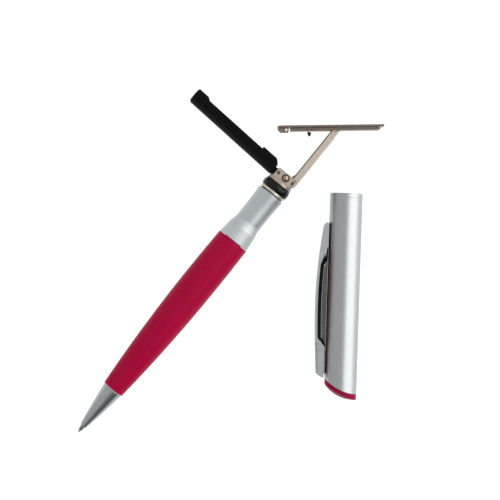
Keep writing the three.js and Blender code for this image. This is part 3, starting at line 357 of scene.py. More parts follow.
def shader_of(material):
    """The shader of a material, whose named inputs can be set."""
    return material.node_tree.nodes["Principled BSDF"]


def tuned(material, values):
    """Sets some of a material's shader inputs by name."""
    for name, value in values.items():
        shader_of(material).inputs[name].default_value = value


def painted(material, mask, code):
    """Lays a second colour over a finish, as far as a mask says."""
    shader = shader_of(material)
    over = material.node_tree.nodes.new("ShaderNodeMix")
    over.data_type = "RGBA"
    link = material.node_tree.links.new
    link(mask, over.inputs["Factor"])
    link(shader.inputs["Base Color"].links[0].from_socket, over.inputs["A"])
    over.inputs["B"].default_value = linear(code)
    link(over.outputs["Result"], shader.inputs["Base Color"])


TURNED_LINES = (26000, 900, 900)
polished_steel = finish_of("polished_steel", 0.16, 1, "9a9b9e", "b9babd", TURNED_LINES, pen_slant, 0.04)
point_steel = finish_of("point_steel", 0.34, 1, "6c6b68", "86857f", TURNED_LINES, pen_slant)
point_brass = finish_of("point_brass", 0.24, 1, "a88450", "c4a068", TURNED_LINES, pen_slant)

half_turn = [math.radians(angle) for angle in range(0, 181, 9)]
ball = turned("writing_ball_piece", [
    (BALL_RADIUS - BALL_RADIUS * math.cos(turn), BALL_RADIUS * math.sin(turn)) for turn in half_turn],
    polished_steel, 48, closed=False)
fitted(ball, pen_place, "refill", "polished_steel", "writing_ball")

point = turned("refill_point_piece", [
    (0.46, 0.33), (0.50, 0.39), (1.4, 0.66, 0.15), (7.4, 0.66, 0.1), (7.6, 1.12, 0.15),
    (8.26, 1.12, 0.05), (8.26, 0.85, 0.05), (12.94, 0.85, 0.1), (12.94, 0.2), (0.46, 0.2)],
    point_steel, 64)
fitted(point, pen_place, "refill", "dark_steel", "refill_point")

refill_tube = turned("refill_tube_piece", [
    (8.31, 1.17, 0.06), (66.9, 1.17, 0.06), (66.9, 0.9), (8.31, 0.9)], point_brass, 64)
fitted(refill_tube, pen_place, "refill", "brass", "refill_tube")


# Nose cone and front bush
# A turned cone of satin nickel with a gently swelling side. Its spigot slides into a brass bush
# that is pressed in the barrel's front end.

NOSE_MOUTH = 2.2
NOSE_REAR = 16.95
NOSE_TIP_RADIUS = 0.98
SPIGOT_REAR = 22.95
BARREL_FRONT = 17.0
BUSH_FRONT, BUSH_REAR = 17.5, 23.5
BUSH_BORE, BUSH_RADIUS = 2.32, 2.82
nose_nickel = finish_of("nose_nickel", 0.26, 1, "8f9293", "a5a9a9", (18000, 700, 700), pen_slant, 0.04,
                        0.08)
side = [(NOSE_MOUTH + 14.75 * k / 24, NOSE_TIP_RADIUS + 2.29 * (k / 24) ** 0.84) for k in range(1, 24)]
nose = turned("nose_cone_piece", [(NOSE_MOUTH, NOSE_TIP_RADIUS, 0.12), *side, (NOSE_REAR, 3.27, 0.3),
              (NOSE_REAR, 2.22, 0.05), (SPIGOT_REAR, 2.22, 0.15), (SPIGOT_REAR, 1.32), (6.8, 1.32),
              (4.6, 0.81), (NOSE_MOUTH, 0.81, 0.05)], nose_nickel)
fitted(nose, pen_place, "barrel", "nose_nickel", "nose_cone")

bush = turned("front_bush_piece", [(BUSH_FRONT, BUSH_BORE), (BUSH_FRONT, BUSH_RADIUS, 0.08),
              (BUSH_REAR, BUSH_RADIUS, 0.08), (BUSH_REAR, BUSH_BORE)], point_brass, 96)
fitted(bush, pen_place, "barrel", "brass", "front_bush")


# Barrel
# A turned brass tube that swells towards its rear and is lacquered red from the nose joint to
# the collar, with a bare rim in front. The lacquer is satin, under a thin clear coat.

BARREL_REAR = 76.1
BARREL_CREST = 60.0
CREST_RADIUS = 5.42
FRONT_BORE, REAR_BORE = 2.92, 3.77
BARE_WIDTH = 0.2
red_lacquer = finish_of("red_lacquer", 0.42, 0, "8c022c", "9c0434", (1500, 1500, 1500), pen_slant, 0.03,
                        0.03, 90.0)
tuned(red_lacquer, {"Specular IOR Level": 0.05, "Coat Weight": 0.03, "Coat Roughness": 0.26})
swell = [(BARREL_CREST - 43 * (1 - k / 48), CREST_RADIUS - 1.95 * (1 - k / 48) ** 1.94)
         for k in range(1, 49)]
swell += [(BARREL_CREST + 16.1 * k / 16, CREST_RADIUS - 0.18 * (k / 16) ** 2.5) for k in range(1, 16)]
barrel = turned("red_barrel_piece", [(BARREL_FRONT, 3.47, 0.12), *swell, (BARREL_REAR, 5.24, 0.12),
                (BARREL_REAR, REAR_BORE), (38.0, REAR_BORE), (25.0, FRONT_BORE),
                (BARREL_FRONT, FRONT_BORE)], red_lacquer, 160)
bare_edge = finish_of("bare_edge", 0.3, 1, "cfd0cf", "e4e5e4", TURNED_LINES, pen_slant)
barrel.data.materials.clear()
barrel.data.materials.append(red_lacquer)
barrel.data.materials.append(bare_edge)
for face in barrel.data.polygons:
    face.material_index = 1 if face.center.x < (BARREL_FRONT + BARE_WIDTH) * MM else 0
fitted(barrel, pen_place, "barrel", "red_lacquer", "red_barrel")


# Twist mechanism
# A slotted brass housing is pressed in the barrel. A white plastic cam with a helical slot turns
# in it with the head, and a steel pin through both slots draws the refill's socket back.

housing_brass = finish_of("housing_brass", 0.34, 1, "9b7b45", "b8945a", TURNED_LINES, pen_slant)
acetal = finish_of("acetal", 0.42, 0, "d3d2cb", "e2e1dc", (2500, 2500, 2500), 0, 0.05, 0.04)


def dressed(node, finish):
    """Gives one of the frame's own solids, which needs no piece over it, its finish."""
    for slot in frame["nodes"][node].material_slots:
        slot.material = finish


dressed("twist_housing", housing_brass)
dressed("cam_sleeve", acetal)
dressed("refill_socket", acetal)
dressed("mechanism_clip", polished_steel)
dressed("drive_pin", polished_steel)


# Collar and stem
# The silver collar takes the cap's rim on its slow cone and flares down to the stem, which the
# cap slides over. Both are turned, plated and satin finished.

COLLAR_FRONT, COLLAR_REAR = 76.2, 83.69
COLLAR_BORE = 3.72
FLARE_START = 81.0
STEM_FRONT, STEM_REAR = 77.1, 95.0
STEM_SEAT = 83.7
STEM_RADIUS = 4.2
FINE_LINES = (16000, 500, 500)
satin_silver = finish_of("satin_silver", 0.58, 1, "abaeb0", "bcc0c2", FINE_LINES, pen_slant, 0.04, 0.05)
stem_silver = finish_of("stem_silver", 0.44, 1, "a1a6a8", "b0b5b7", FINE_LINES, pen_slant, 0.04, 0.05)
flare = [(FLARE_START + 2.65 * k / 16, STEM_RADIUS + 0.45 * (1 - k / 16) ** 1.6) for k in range(16)]
collar = turned("collar_piece", [(COLLAR_FRONT, 5.15, 0.2), (78.5, 4.952), (80.75, 4.75, 0.08), *flare,
                (COLLAR_REAR, STEM_RADIUS, 0.02), (COLLAR_REAR, COLLAR_BORE),
                (COLLAR_FRONT, COLLAR_BORE)], satin_silver)
fitted(collar, pen_place, "head", "satin_silver", "collar")

stem = turned("stem_piece", [(STEM_FRONT, 3.62, 0.1), (STEM_SEAT, 3.62), (STEM_SEAT, STEM_RADIUS, 0.03),
              (89.2, STEM_RADIUS, 2.5), (94.7, 4.42, 0.12), (94.7, 3.9), (STEM_REAR, 3.9),
              (STEM_REAR, 2.8), (89.2, 2.8), (87.2, 3.07), (STEM_FRONT, 3.07)], stem_silver)
fitted(stem, pen_place, "head", "satin_silver", "stem")


# Rings on the stem's end
# A warm nickel ring, the black rubber ring that grips the cap's bore, and a thin washer. They
# are slipped on the hinge block's tail and held by its flange.

RING_BORE = 2.8
METAL_RING_FRONT, METAL_RING_REAR, METAL_RING_RADIUS = 95.1, 95.9, 4.25
RUBBER_FRONT, RUBBER_REAR, RUBBER_SIDE, RUBBER_CROWN = 96.0, 98.1, 4.45, 4.6
WASHER_FRONT, WASHER_REAR, WASHER_RADIUS = 98.2, 98.6, 4.36
SATIN = (3500, 3500, 3500)
champagne = finish_of("champagne_nickel", 0.38, 1, "978b80", "b3a69a", SATIN, pen_slant, 0.07, 0.16, 900.0)
ring_nickel = finish_of("ring_nickel", 0.36, 1, "aca598", "c9c2b4", SATIN, pen_slant, 0.07, 0.16, 900.0)


def ring_of(name, start, end, radius, ease, finish, crown=()):
    """A ring on the tail, with its two outer edges eased and an optional crown between them."""
    return turned(name, [(start, radius, ease), *crown, (end, radius, ease), (end, RING_BORE),
                         (start, RING_BORE)], finish)


retaining_ring = ring_of("retaining_ring_piece", METAL_RING_FRONT, METAL_RING_REAR, METAL_RING_RADIUS, 0.1,
                         ring_nickel)
fitted(retaining_ring, pen_place, "head", "champagne_nickel", "retaining_ring")

black_rubber = finish_of("black_rubber", 0.2, 0, "040406", "0a0a0c", (2200, 2200, 2200), 0, 0.04, 0.05)
tuned(black_rubber, {"Specular IOR Level": 0.18})
crown = [(RUBBER_FRONT + 2.1 * k / 12, RUBBER_CROWN - 0.15 * (2 * k / 12 - 1) ** 2) for k in range(1, 12)]
rubber_ring = ring_of("rubber_ring_piece", RUBBER_FRONT, RUBBER_REAR, RUBBER_SIDE, 0.25, black_rubber, crown)
fitted(rubber_ring, pen_place, "head", "black_rubber", "rubber_ring")

washer = ring_of("seal_washer_piece", WASHER_FRONT, WASHER_REAR, WASHER_RADIUS, 0.12, black_rubber)
fitted(washer, pen_place, "head", "black_rubber", "seal_washer")


# Hinge block, rivet and pins
# The block is turned and milled from one bar: a flange, a tail in the stem and two cheeks. A
# rivet in a countersunk ring ties the cheeks, and a steel pin stands for each arm.

CHEEK_TOP = 2.75
SLOT_HALF = 1.95
CHEEK_FRONT = 99.45
CHEEK_REAR = 102.8
FLANGE_RADIUS = 4.2
BLANK_HALF = 5.2
PIN_STATION = 101.3
PAD_PIN_OFFSET = 2.3
ARM_PIN_OFFSET = -3.15
PIN_RADIUS = 0.45
PIN_HOLE = 0.5
RIVET_OFFSET = -0.45
SINK_RADIUS = 1.25
SINK_DEPTH = 0.35


def raised(name, outline, low, high):
    """A solid raised from an outline between two heights, in millimetres."""
    mesh = bpy.data.meshes.new(name)
    count = len(outline)
    corners = [(x * MM, y * MM, z * MM) for z in (low, high) for x, y in outline]
    sides = [(i, (i + 1) % count, count + (i + 1) % count, count + i) for i in range(count)]
    mesh.from_pydata(corners, [], [tuple(range(count))[::-1], tuple(range(count, 2 * count)), *sides])
    solid = bpy.data.objects.new(name, mesh)
    scene.collection.objects.link(solid)
    return facing_out(solid)


def arc(x, y, radius, start, end, steps):
    """Points on an arc, with its angles in degrees."""
    turns = [math.radians(start + (end - start) * k / steps) for k in range(steps + 1)]
    return [(x + radius * math.cos(t), y + radius * math.sin(t)) for t in turns]


def block(name, x, y, z):
    """A plain block between two values on each axis, for cutting and joining."""
    return raised(name, [(x[0], y[0]), (x[1], y[0]), (x[1], y[1]), (x[0], y[1])], *z)


def rod(name, x, y, radius, low, high, steps=48):
    """A round rod that stands on the XY plane."""
    return raised(name, arc(x, y, radius, 0, 360 - 360 / steps, steps - 1), low, high)


def cross_rod(name, x, radius, low, high):
    """A round rod along Y through the X axis, for a hole drilled from the side."""
    solid = rod(name, x, 0, radius, low, high)
    solid.data.transform(Matrix.Rotation(math.pi / 2, 4, "X"))
    return solid


def pin_of(name, half, ease, finish):
    """A plain pin, half its length to each side, with eased ends."""
    return turned(name, [(-half, 0), (-half, PIN_RADIUS, ease), (half, PIN_RADIUS, ease), (half, 0)],
                  finish, 48, closed=False)


def joined(body, operation, *others):
    """Joins others to a solid, or cuts it with them, and removes them."""
    for other in others:
        step = body.modifiers.new("step", "BOOLEAN")
        step.operation = operation
        step.solver = "EXACT"
        step.object = other
    facing_out(applied(body))
    for other in others:
        bpy.data.objects.remove(other)
    return body


def softened(solid, finish, width, angle=32, segments=3):
    """Rounds a solid's sharp edges a little and shades the rest smooth."""
    solid.data.materials.clear()
    solid.data.materials.append(finish)
    weld = solid.modifiers.new("weld", "WELD")
    weld.merge_threshold = 1e-6
    ease = solid.modifiers.new("ease", "BEVEL")
    ease.width = width * MM
    ease.segments = segments
    ease.limit_method = "ANGLE"
    ease.angle_limit = math.radians(angle)
    ease.use_clamp_overlap = True
    ease.harden_normals = True
    for face in solid.data.polygons:
        face.use_smooth = True
    even = solid.modifiers.new("even", "WEIGHTED_NORMAL")
    even.keep_sharp = True
    return applied(solid)


bar = turned("hinge_block_piece", [(89.3, 0), (89.3, 2.7), (98.7, 2.7), (98.7, FLANGE_RADIUS),
             (CHEEK_REAR, FLANGE_RADIUS), (CHEEK_REAR, 0)], champagne, 128, closed=False)
plan = [(CHEEK_FRONT - 1, -FLANGE_RADIUS), (CHEEK_REAR, -FLANGE_RADIUS),
        *arc(CHEEK_REAR - 0.4, 2.65, 0.4, 0, 75, 8), (CHEEK_FRONT, 4.0), (CHEEK_FRONT, BLANK_HALF),
        (88, BLANK_HALF), (88, -BLANK_HALF), (CHEEK_FRONT - 1, -BLANK_HALF)]
joined(bar, "INTERSECT", raised("block_plan", plan, -BLANK_HALF, BLANK_HALF))
whole = (-BLANK_HALF, BLANK_HALF)
cuts = [block("cheek_slot", (CHEEK_FRONT + 0.25, 104), whole, (-SLOT_HALF, SLOT_HALF)),
        block("cheek_over", (CHEEK_FRONT, 104), whole, (CHEEK_TOP, BLANK_HALF)),
        block("cheek_under", (CHEEK_FRONT, 104), whole, (-BLANK_HALF, -CHEEK_TOP)),
        rod("pad_pin_hole", PIN_STATION, PAD_PIN_OFFSET, PIN_HOLE, -4, 4),
        rod("arm_pin_hole", PIN_STATION, ARM_PIN_OFFSET, PIN_HOLE, -4, 4),
        rod("rivet_hole", PIN_STATION, RIVET_OFFSET, 0.9, -4, 4),
        rod("rivet_sink_top", PIN_STATION, RIVET_OFFSET, SINK_RADIUS, CHEEK_TOP - SINK_DEPTH, 4),
        rod("rivet_sink_foot", PIN_STATION, RIVET_OFFSET, SINK_RADIUS, -4, SINK_DEPTH - CHEEK_TOP)]
joined(bar, "DIFFERENCE", *cuts)
softened(bar, champagne, 0.1)
FINE_SAND = (9000, 9000, 9000)
# The faces in the rivet's countersunk ring take a dark finish: painted shade in the recess.
sink_painted_shade = finish_of("sink_painted_shade", 0.4, 1, "3c322b", "54473e", FINE_SAND, pen_slant)
bar.data.materials.append(sink_painted_shade)
for face in bar.data.polygons:
    away = math.hypot(face.center.x / MM - PIN_STATION, face.center.y / MM - RIVET_OFFSET)
    if away < SINK_RADIUS + 0.02 and CHEEK_TOP - 0.5 < abs(face.center.z) / MM < CHEEK_TOP - 0.04:
        face.material_index = 1
fitted(bar, pen_place, "head", "champagne_nickel", "hinge_block")

rivet_nickel = finish_of("rivet_nickel", 0.24, 1, "8a776b", "a89488", SATIN, pen_slant)
head = [(CHEEK_TOP - 0.22, 0.85, 0.08), (CHEEK_TOP - 0.1, 0.6, 0.3), (CHEEK_TOP, 0.1)]
rivet = turned("centre_rivet_piece", [(-CHEEK_TOP, 0), *[(-point[0], *point[1:]) for point in head[::-1]],
               (-SLOT_HALF, 0.85, 0.04), (-SLOT_HALF, 0.6), (SLOT_HALF, 0.6), (SLOT_HALF, 0.85, 0.04), *head,
               (CHEEK_TOP, 0)], rivet_nickel, 64, closed=False)
stand_up = Matrix.Rotation(-math.pi / 2, 4, "Y")
rivet_place = pen_place @ Matrix.Translation(Vector((PIN_STATION, RIVET_OFFSET, 0)) * MM)
fitted(rivet, rivet_place @ stand_up, "head", "champagne_nickel", "centre_rivet")

pin_steel = finish_of("pin_steel", 0.4, 1, "483c34", "5e5047", FINE_SAND, pen_slant)
for name, offset in (("pad_arm_pin", PAD_PIN_OFFSET), ("stamp_arm_pin", ARM_PIN_OFFSET)):
    pin_place = pen_place @ Matrix.Translation(Vector((PIN_STATION, offset, 0)) * MM)
    pin = pin_of(name + "_piece", 2.65, 0.12, pin_steel)
    fitted(pin, pin_place @ stand_up, "head", "polished_steel", name)


# Torsion spring
# One steel wire is wound three and a half times round the rivet, with a short straight leg at
# each end. It gives the stamp arm its small return.

SPRING_WIRE = 0.3
SPRING_TURNS = 3.5
SPRING_PITCH = 0.78
SPRING_RADIUS = 0.85
SPRING_LEG = 0.7
TURN_STEPS = 24


def make_winding():
    """Geometry nodes that draw a round wire along a line of points."""
    tree = bpy.data.node_groups.new("winding", "GeometryNodeTree")
    face = tree.interface
    face.new_socket("Path", in_out="INPUT", socket_type="NodeSocketGeometry")
    face.new_socket("Wire Radius", in_out="INPUT", socket_type="NodeSocketFloat")
    face.new_socket("Sides", in_out="INPUT", socket_type="NodeSocketInt")
    face.new_socket("Finish", in_out="INPUT", socket_type="NodeSocketMaterial")
    face.new_socket("Wound", in_out="OUTPUT", socket_type="NodeSocketGeometry")
    new, link = tree.nodes.new, tree.links.new
    given, result = new("NodeGroupInput"), new("NodeGroupOutput")
    line = new("GeometryNodeMeshToCurve")
    section = new("GeometryNodeCurvePrimitiveCircle")
    link(given.outputs["Wire Radius"], section.inputs["Radius"])
    link(given.outputs["Sides"], section.inputs["Resolution"])
    sweep = new("GeometryNodeCurveToMesh")
    sweep.inputs["Fill Caps"].default_value = True
    link(section.outputs[0], sweep.inputs["Profile Curve"])
    smooth = new("GeometryNodeSetShadeSmooth")
    realize = new("GeometryNodeRealizeInstances")
    finish = new("GeometryNodeSetMaterial")
    link(given.outputs["Finish"], finish.inputs["Material"])
    link_chain(tree, given, line, sweep, smooth, realize, finish, result)
    return tree


winding = make_winding()
height = SPRING_TURNS * SPRING_PITCH
coil = []
for k in range(int(SPRING_TURNS * TURN_STEPS) + 1):
    turn = 2 * math.pi * k / TURN_STEPS
    coil.append(Vector((SPRING_RADIUS * math.cos(turn), SPRING_RADIUS * math.sin(turn),
                        height * k / (TURN_STEPS * SPRING_TURNS) - height / 2)))
leg = Vector((0, -SPRING_LEG, 0))
coil = [coil[0] + leg, *coil, coil[-1] + leg]
wire_mesh = bpy.data.meshes.new("torsion_spring_piece")
wire_mesh.from_pydata([point * MM for point in coil], [(k, k + 1) for k in range(len(coil) - 1)], [])
spring = bpy.data.objects.new("torsion_spring_piece", wire_mesh)
scene.collection.objects.link(spring)
draw = spring.modifiers.new("winding", "NODES")
draw.node_group = winding
draw[socket_of(winding, "Wire Radius")] = SPRING_WIRE / 2 * MM
draw[socket_of(winding, "Sides")] = 12
draw[socket_of(winding, "Finish")] = polished_steel
fitted(facing_out(applied(spring)), rivet_place, "head", "polished_steel", "torsion_spring")


# Pad holder
# A black moulded arm of D section with a raised ear at each end and a trough between them for
# the ink pad. Its knuckle turns on the steel pin between the cheeks.

PAD_OPEN = 87
PAD_AXIS = -PAD_PIN_OFFSET
HOLDER_START, HOLDER_END = 1.9, 35.4
HOLDER_BACK, HOLDER_EAR, HOLDER_RIM = 1.94, -2.9, -2.2
NECK_HALF = 1.8
black_plastic = finish_of("black_plastic", 0.52, 0, "030304", "0b0b0c", (1800, 1800, 1800), 0, 0.07, 0.18,
                          300.0)
tuned(black_plastic, {"Specular IOR Level": 0.08})
pad_pin = Vector(joints["pad_arm_fold"]["pos_m"])
pad_place = Matrix.Translation(pad_pin) @ Matrix.Rotation(pen_slant + math.radians(PAD_OPEN), 4, "Z")


def drawn_out(name, section, start, end):
    """A section in Y and Z drawn out along X."""
    solid = raised(name, section, start, end)
    solid.data.transform(Matrix(((0, 0, 1, 0), (1, 0, 0, 0), (0, 1, 0, 0), (0, 0, 0, 1))))
    return solid


def pad_section(radius, back, rim, straight):
    """A circle about the pen's axis, cut flat at the back and open at the rim."""
    rim_turn = 90 if straight else math.degrees(math.acos((rim - PAD_AXIS) / radius))
    back_turn = math.degrees(math.acos((back - PAD_AXIS) / radius))
    sides = arc(PAD_AXIS, 0, radius, -rim_turn, -back_turn, 20)
    sides += arc(PAD_AXIS, 0, radius, back_turn, rim_turn, 20)
    return [(rim, -radius), *sides, (rim, radius)] if straight else sides


holder_side = [(HOLDER_START, 1.79), (2.05, HOLDER_BACK), (34.95, HOLDER_BACK), (HOLDER_END, 1.49),
               (HOLDER_END, -2.45), (34.95, HOLDER_EAR), (31.4, HOLDER_EAR), (30.6, HOLDER_RIM),
               (8.7125, HOLDER_RIM), (8.6, HOLDER_EAR), (3.25, HOLDER_EAR), (HOLDER_START, -1.75)]
neck_corner = [(1.3, 1.2), (2.1, 1.2), (2.1, 1.8), (1.78, 1.76), (1.74, 1.58), (1.3, 1.55)]
holder = drawn_out("pad_holder_piece", pad_section(4.45, HOLDER_BACK, -3.4, False), HOLDER_START,
                   HOLDER_END)
joined(holder, "INTERSECT", raised("holder_side", holder_side, -5.5, 5.5))
joined(holder, "DIFFERENCE", drawn_out("trough", pad_section(4.1, 0.59, -3.9, True), 2.4, 34.9),
       block("snap_near", (13.6, 14.9), (1.72, 2.2), (-1.1, 1.1)),
       block("snap_far", (23.6, 24.9), (1.72, 2.2), (-1.1, 1.1)))
joined(holder, "UNION", block("holder_neck", (0, 2.15), (-0.87, 1.305), (-NECK_HALF, NECK_HALF)),
       raised("neck_corner", neck_corner, -NECK_HALF, NECK_HALF),
       rod("knuckle", 0, 0, 1.45, -NECK_HALF, NECK_HALF, 64))
joined(holder, "DIFFERENCE", rod("knuckle_bore", 0, 0, PIN_HOLE, -3, 3))
fitted(softened(holder, black_plastic, 0.14), pad_place, "pad_arm", "black_plastic", "pad_holder")


# Ink pad
# A strip of dense felt that fills the trough, soaked in blue-black ink. It is pressed in, and
# its open face is slightly crowned and fuzzy.

ink_felt = finish_of("ink_felt", 0.92, 0, "0d0f1c", "1c2036", (9000, 2600, 9000), 0, 0.05, 0.8, 700.0)
tuned(ink_felt, {"Sheen Weight": 0.25, "Sheen Roughness": 0.6})
PAD_START, PAD_END = 2.5, 34.8
PAD_MIDDLE, PAD_HALF = -0.755, 1.245
PAD_RADIUS = 3.98
PAD_SINK = 0.1
PAD_ROWS, PAD_RING = 96, 48


def squared(value):
    """Draws a sine or cosine out towards the corners of a square."""
    return math.copysign(abs(value) ** 0.28, value)


pad_mesh = bpy.data.meshes.new("ink_pad_piece")
pad_corners, pad_faces = [], []
for row in range(PAD_ROWS + 1):
    share = row / PAD_ROWS
    x = PAD_START + (PAD_END - PAD_START) * (0.5 - 0.5 * math.cos(math.pi * share))
    rim = min(x - PAD_START, PAD_END - x)
    pull = 1 - 0.3 * max(0.0, 1 - rim / 0.6) ** 3
    for k in range(PAD_RING):
        turn = 2 * math.pi * k / PAD_RING
        wide, deep = squared(math.cos(turn)), squared(math.sin(turn))
        y = PAD_MIDDLE + PAD_HALF * deep * pull
        reach = math.sqrt(max(0.0, PAD_RADIUS ** 2 - (y - PAD_AXIS) ** 2))
        if deep < -0.6:
            y += PAD_SINK - PAD_SINK * (1 - wide * wide) * min(1.0, rim / 2)
        pad_corners.append((x * MM, y * MM, wide * reach * pull * MM))
for row in range(PAD_ROWS):
    for k in range(PAD_RING):
        a, b = row * PAD_RING + k, row * PAD_RING + (k + 1) % PAD_RING
        pad_faces.append((a, b, b + PAD_RING, a + PAD_RING))
pad_faces += [tuple(range(PAD_RING)), tuple(range(PAD_ROWS * PAD_RING, (PAD_ROWS + 1) * PAD_RING))]
pad_mesh.from_pydata(pad_corners, [], pad_faces)
ink_pad = bpy.data.objects.new("ink_pad_piece", pad_mesh)
scene.collection.objects.link(ink_pad)
pad_mesh.materials.append(ink_felt)
facing_out(applied(ink_pad))
for face in ink_pad.data.polygons:
    face.use_smooth = len(face.vertices) == 4
fitted(ink_pad, pad_place, "pad_arm", "ink_felt", "ink_pad")


# Stamp arm
# A channel folded from warm nickel sheet, with a solid root between the cheeks, a forked end
# and a small stop lug. It is drawn here from its own pin along the pen's axis.

ARM_LENGTH = 21.1
ARM_INNER, ARM_OUTER = 1, 1.4
ARM_HALF = 1.8
CHANNEL_FLOOR, CHANNEL_HALF = -0.95, 1.35
CHANNEL_START, CHANNEL_END = 2.8, 23.1
FORK_START = 19.1
IN_CAP_RADIUS = 4.55
STUD_BACK = 8
arm_pin = Vector(joints["stamp_arm_give"]["pos_m"])
arm_place = Matrix.Translation(arm_pin) @ Matrix.Rotation(pen_slant, 4, "Z")
arm_plan = [*arc(0, 0, ARM_OUTER, 270, 190, 16), *arc(0, 0, ARM_INNER, 170, 90, 12), (1.6, ARM_INNER),
            (1.6, 1.35), (2.15, 1.35), (2.7, ARM_INNER), *arc(ARM_LENGTH, 0, ARM_INNER, 90, 0, 12),
            *arc(ARM_LENGTH, 0, ARM_OUTER, -44.4, -90, 8)]
arm_nickel = finish_of("arm_nickel", 0.40, 1, "aca093", "c3b7aa", (1200, 6000, 6000), pen_slant, 0.06, 0.12,
                       900.0)


def painted_edge_shade(material, way, start, end, code):
    """Paints shade over a finish past a plane across a way, from one distance along it to another."""
    nodes, link = material.node_tree.nodes, material.node_tree.links.new
    here = nodes.new("ShaderNodeTexCoord")
    along = nodes.new("ShaderNodeVectorMath")
    along.operation = "DOT_PRODUCT"
    along.inputs[1].default_value = way
    link(here.outputs["Object"], along.inputs[0])
    mask = nodes.new("ShaderNodeMapRange")
    mask.inputs["From Min"].default_value = start
    mask.inputs["From Max"].default_value = end
    link(along.outputs["Value"], mask.inputs["Value"])
    painted(material, mask.outputs[0], code)


arm = raised("stamp_arm_piece", arm_plan, -ARM_HALF, ARM_HALF)
in_cap = turned("arm_in_cap", [(-3, 0), (-3, IN_CAP_RADIUS), (24, IN_CAP_RADIUS), (24, 0)], arm_nickel, 128,
                closed=False)
in_cap.data.transform(Matrix.Translation(Vector((0, -ARM_PIN_OFFSET, 0)) * MM))
joined(arm, "INTERSECT", in_cap)
joined(arm, "DIFFERENCE",
       block("arm_channel", (CHANNEL_START, CHANNEL_END), (CHANNEL_FLOOR, 2), (-CHANNEL_HALF, CHANNEL_HALF)),
       block("arm_fork", (FORK_START, CHANNEL_END), (-3, 2), (-CHANNEL_HALF, CHANNEL_HALF)),
       rod("arm_root_bore", 0, 0, PIN_HOLE, -3, 3), rod("arm_end_bore", ARM_LENGTH, 0, PIN_HOLE, -3, 3))
joined(arm, "DIFFERENCE", cross_rod("stud_room", ARM_LENGTH - STUD_BACK, 0.92, -3, 3))
# The arm's sheet is a copy of its nickel with painted shade along its inner edge: a dark band that fades in
# between 0.55 and 0.7 mm from the pin's line towards that edge.
sheet_nickel_edge_shade = arm_nickel.copy()
sheet_nickel_edge_shade.name = "sheet_nickel_edge_shade"
inner_way = Vector((-math.sin(pen_slant), math.cos(pen_slant), 0))
pin_depth = arm_pin.dot(inner_way)
painted_edge_shade(sheet_nickel_edge_shade, inner_way, pin_depth + 0.55 * MM, pin_depth + 0.7 * MM, "5d5147")
fitted(softened(arm, sheet_nickel_edge_shade, 0.26), arm_place, "stamp_arm", "champagne_nickel", "stamp_arm")

pivot = pin_of("plate_pivot_pin_piece", 1.75, 0.1, arm_nickel)
pivot_place = Matrix.Translation(Vector((ARM_LENGTH, 0, 0)) * MM) @ stand_up
fitted(pivot, arm_place @ pivot_place, "stamp_arm", "champagne_nickel", "plate_pivot_pin")


# Stamp plate, rail and end clip
# The plate is dark nickel sheet, stiffened by a rail on edge that turns on the arm's pivot. A
# folded clip closes its left end and straddles the arm when it is stowed.

PLATE_OPEN = 50.26
PLATE_LEFT, PLATE_RIGHT, PLATE_HALF = -17.15, 15.05, 4
PLATE_BACK, PLATE_FACE = 1.07, 1.77
RAIL_LEFT, RAIL_RIGHT, RAIL_HALF = -13.9, 13.85, 2.55
RAIL_FOOT, RAIL_TOP = 0.12, 1.02
WELL_HALF = 1.95
END_LEFT, END_WALL, END_RIGHT = -17.8, -17.2, -14.4
END_FOOT = -0.18
FLAP_INNER, FLAP_OUTER = 2.0, 2.6
# Where the end clip's painted highlight sits, and how wide it is.
SPOT_X, SPOT_Y, SPOT_RADIUS, SPOT_RIM = -15.15, 0.45, 0.3, 0.42
ALONG_PLATE = (1500, 9000, 9000)
bronze = finish_of("bronze_nickel", 0.34, 1, "6d6056", "837469", ALONG_PLATE, 0, 0.08, 0.1, 500.0)
plate_pivot = Vector(joints["plate_tilt"]["pos_m"])
plate_turn = pen_slant - math.radians(PLATE_OPEN)
plate_place = Matrix.Translation(plate_pivot) @ Matrix.Rotation(plate_turn, 4, "Z")
plate = block("stamp_plate_piece", (PLATE_LEFT, PLATE_RIGHT), (PLATE_BACK, PLATE_FACE),
              (-PLATE_HALF, PLATE_HALF))
fitted(softened(plate, bronze, 0.1), plate_place, "stamp_plate", "bronze_nickel", "stamp_plate")

rail_side = [(RAIL_LEFT, RAIL_FOOT), (13.55, RAIL_FOOT), (RAIL_RIGHT, 0.42), (RAIL_RIGHT, 0.8), (1.25, 0.8),
             (0.85, RAIL_TOP), (RAIL_LEFT, RAIL_TOP)]
rail = raised("plate_rail_piece", rail_side, -RAIL_HALF, RAIL_HALF)
joined(rail, "DIFFERENCE",
       block("arm_room", (RAIL_LEFT - 1, 1.7), (-1, RAIL_TOP + 1), (-WELL_HALF, WELL_HALF)),
       block("stud_notch", (-STUD_BACK - 0.95, 0.95 - STUD_BACK), (-1, 0.57), (-3.6, 3.6)))
joined(rail, "UNION", raised("rail_fin", rail_side, -0.6, 0.6), rod("rail_lug", 0, 0, 0.85, -1.25, 1.25))
joined(rail, "DIFFERENCE", rod("rail_bore", 0, 0, PIN_HOLE, -3, 3),
       cross_rod("stud_bore", -STUD_BACK, 0.33, -3, 3))
fitted(softened(rail, bronze, 0.08), plate_place, "stamp_plate", "bronze_nickel", "plate_rail")


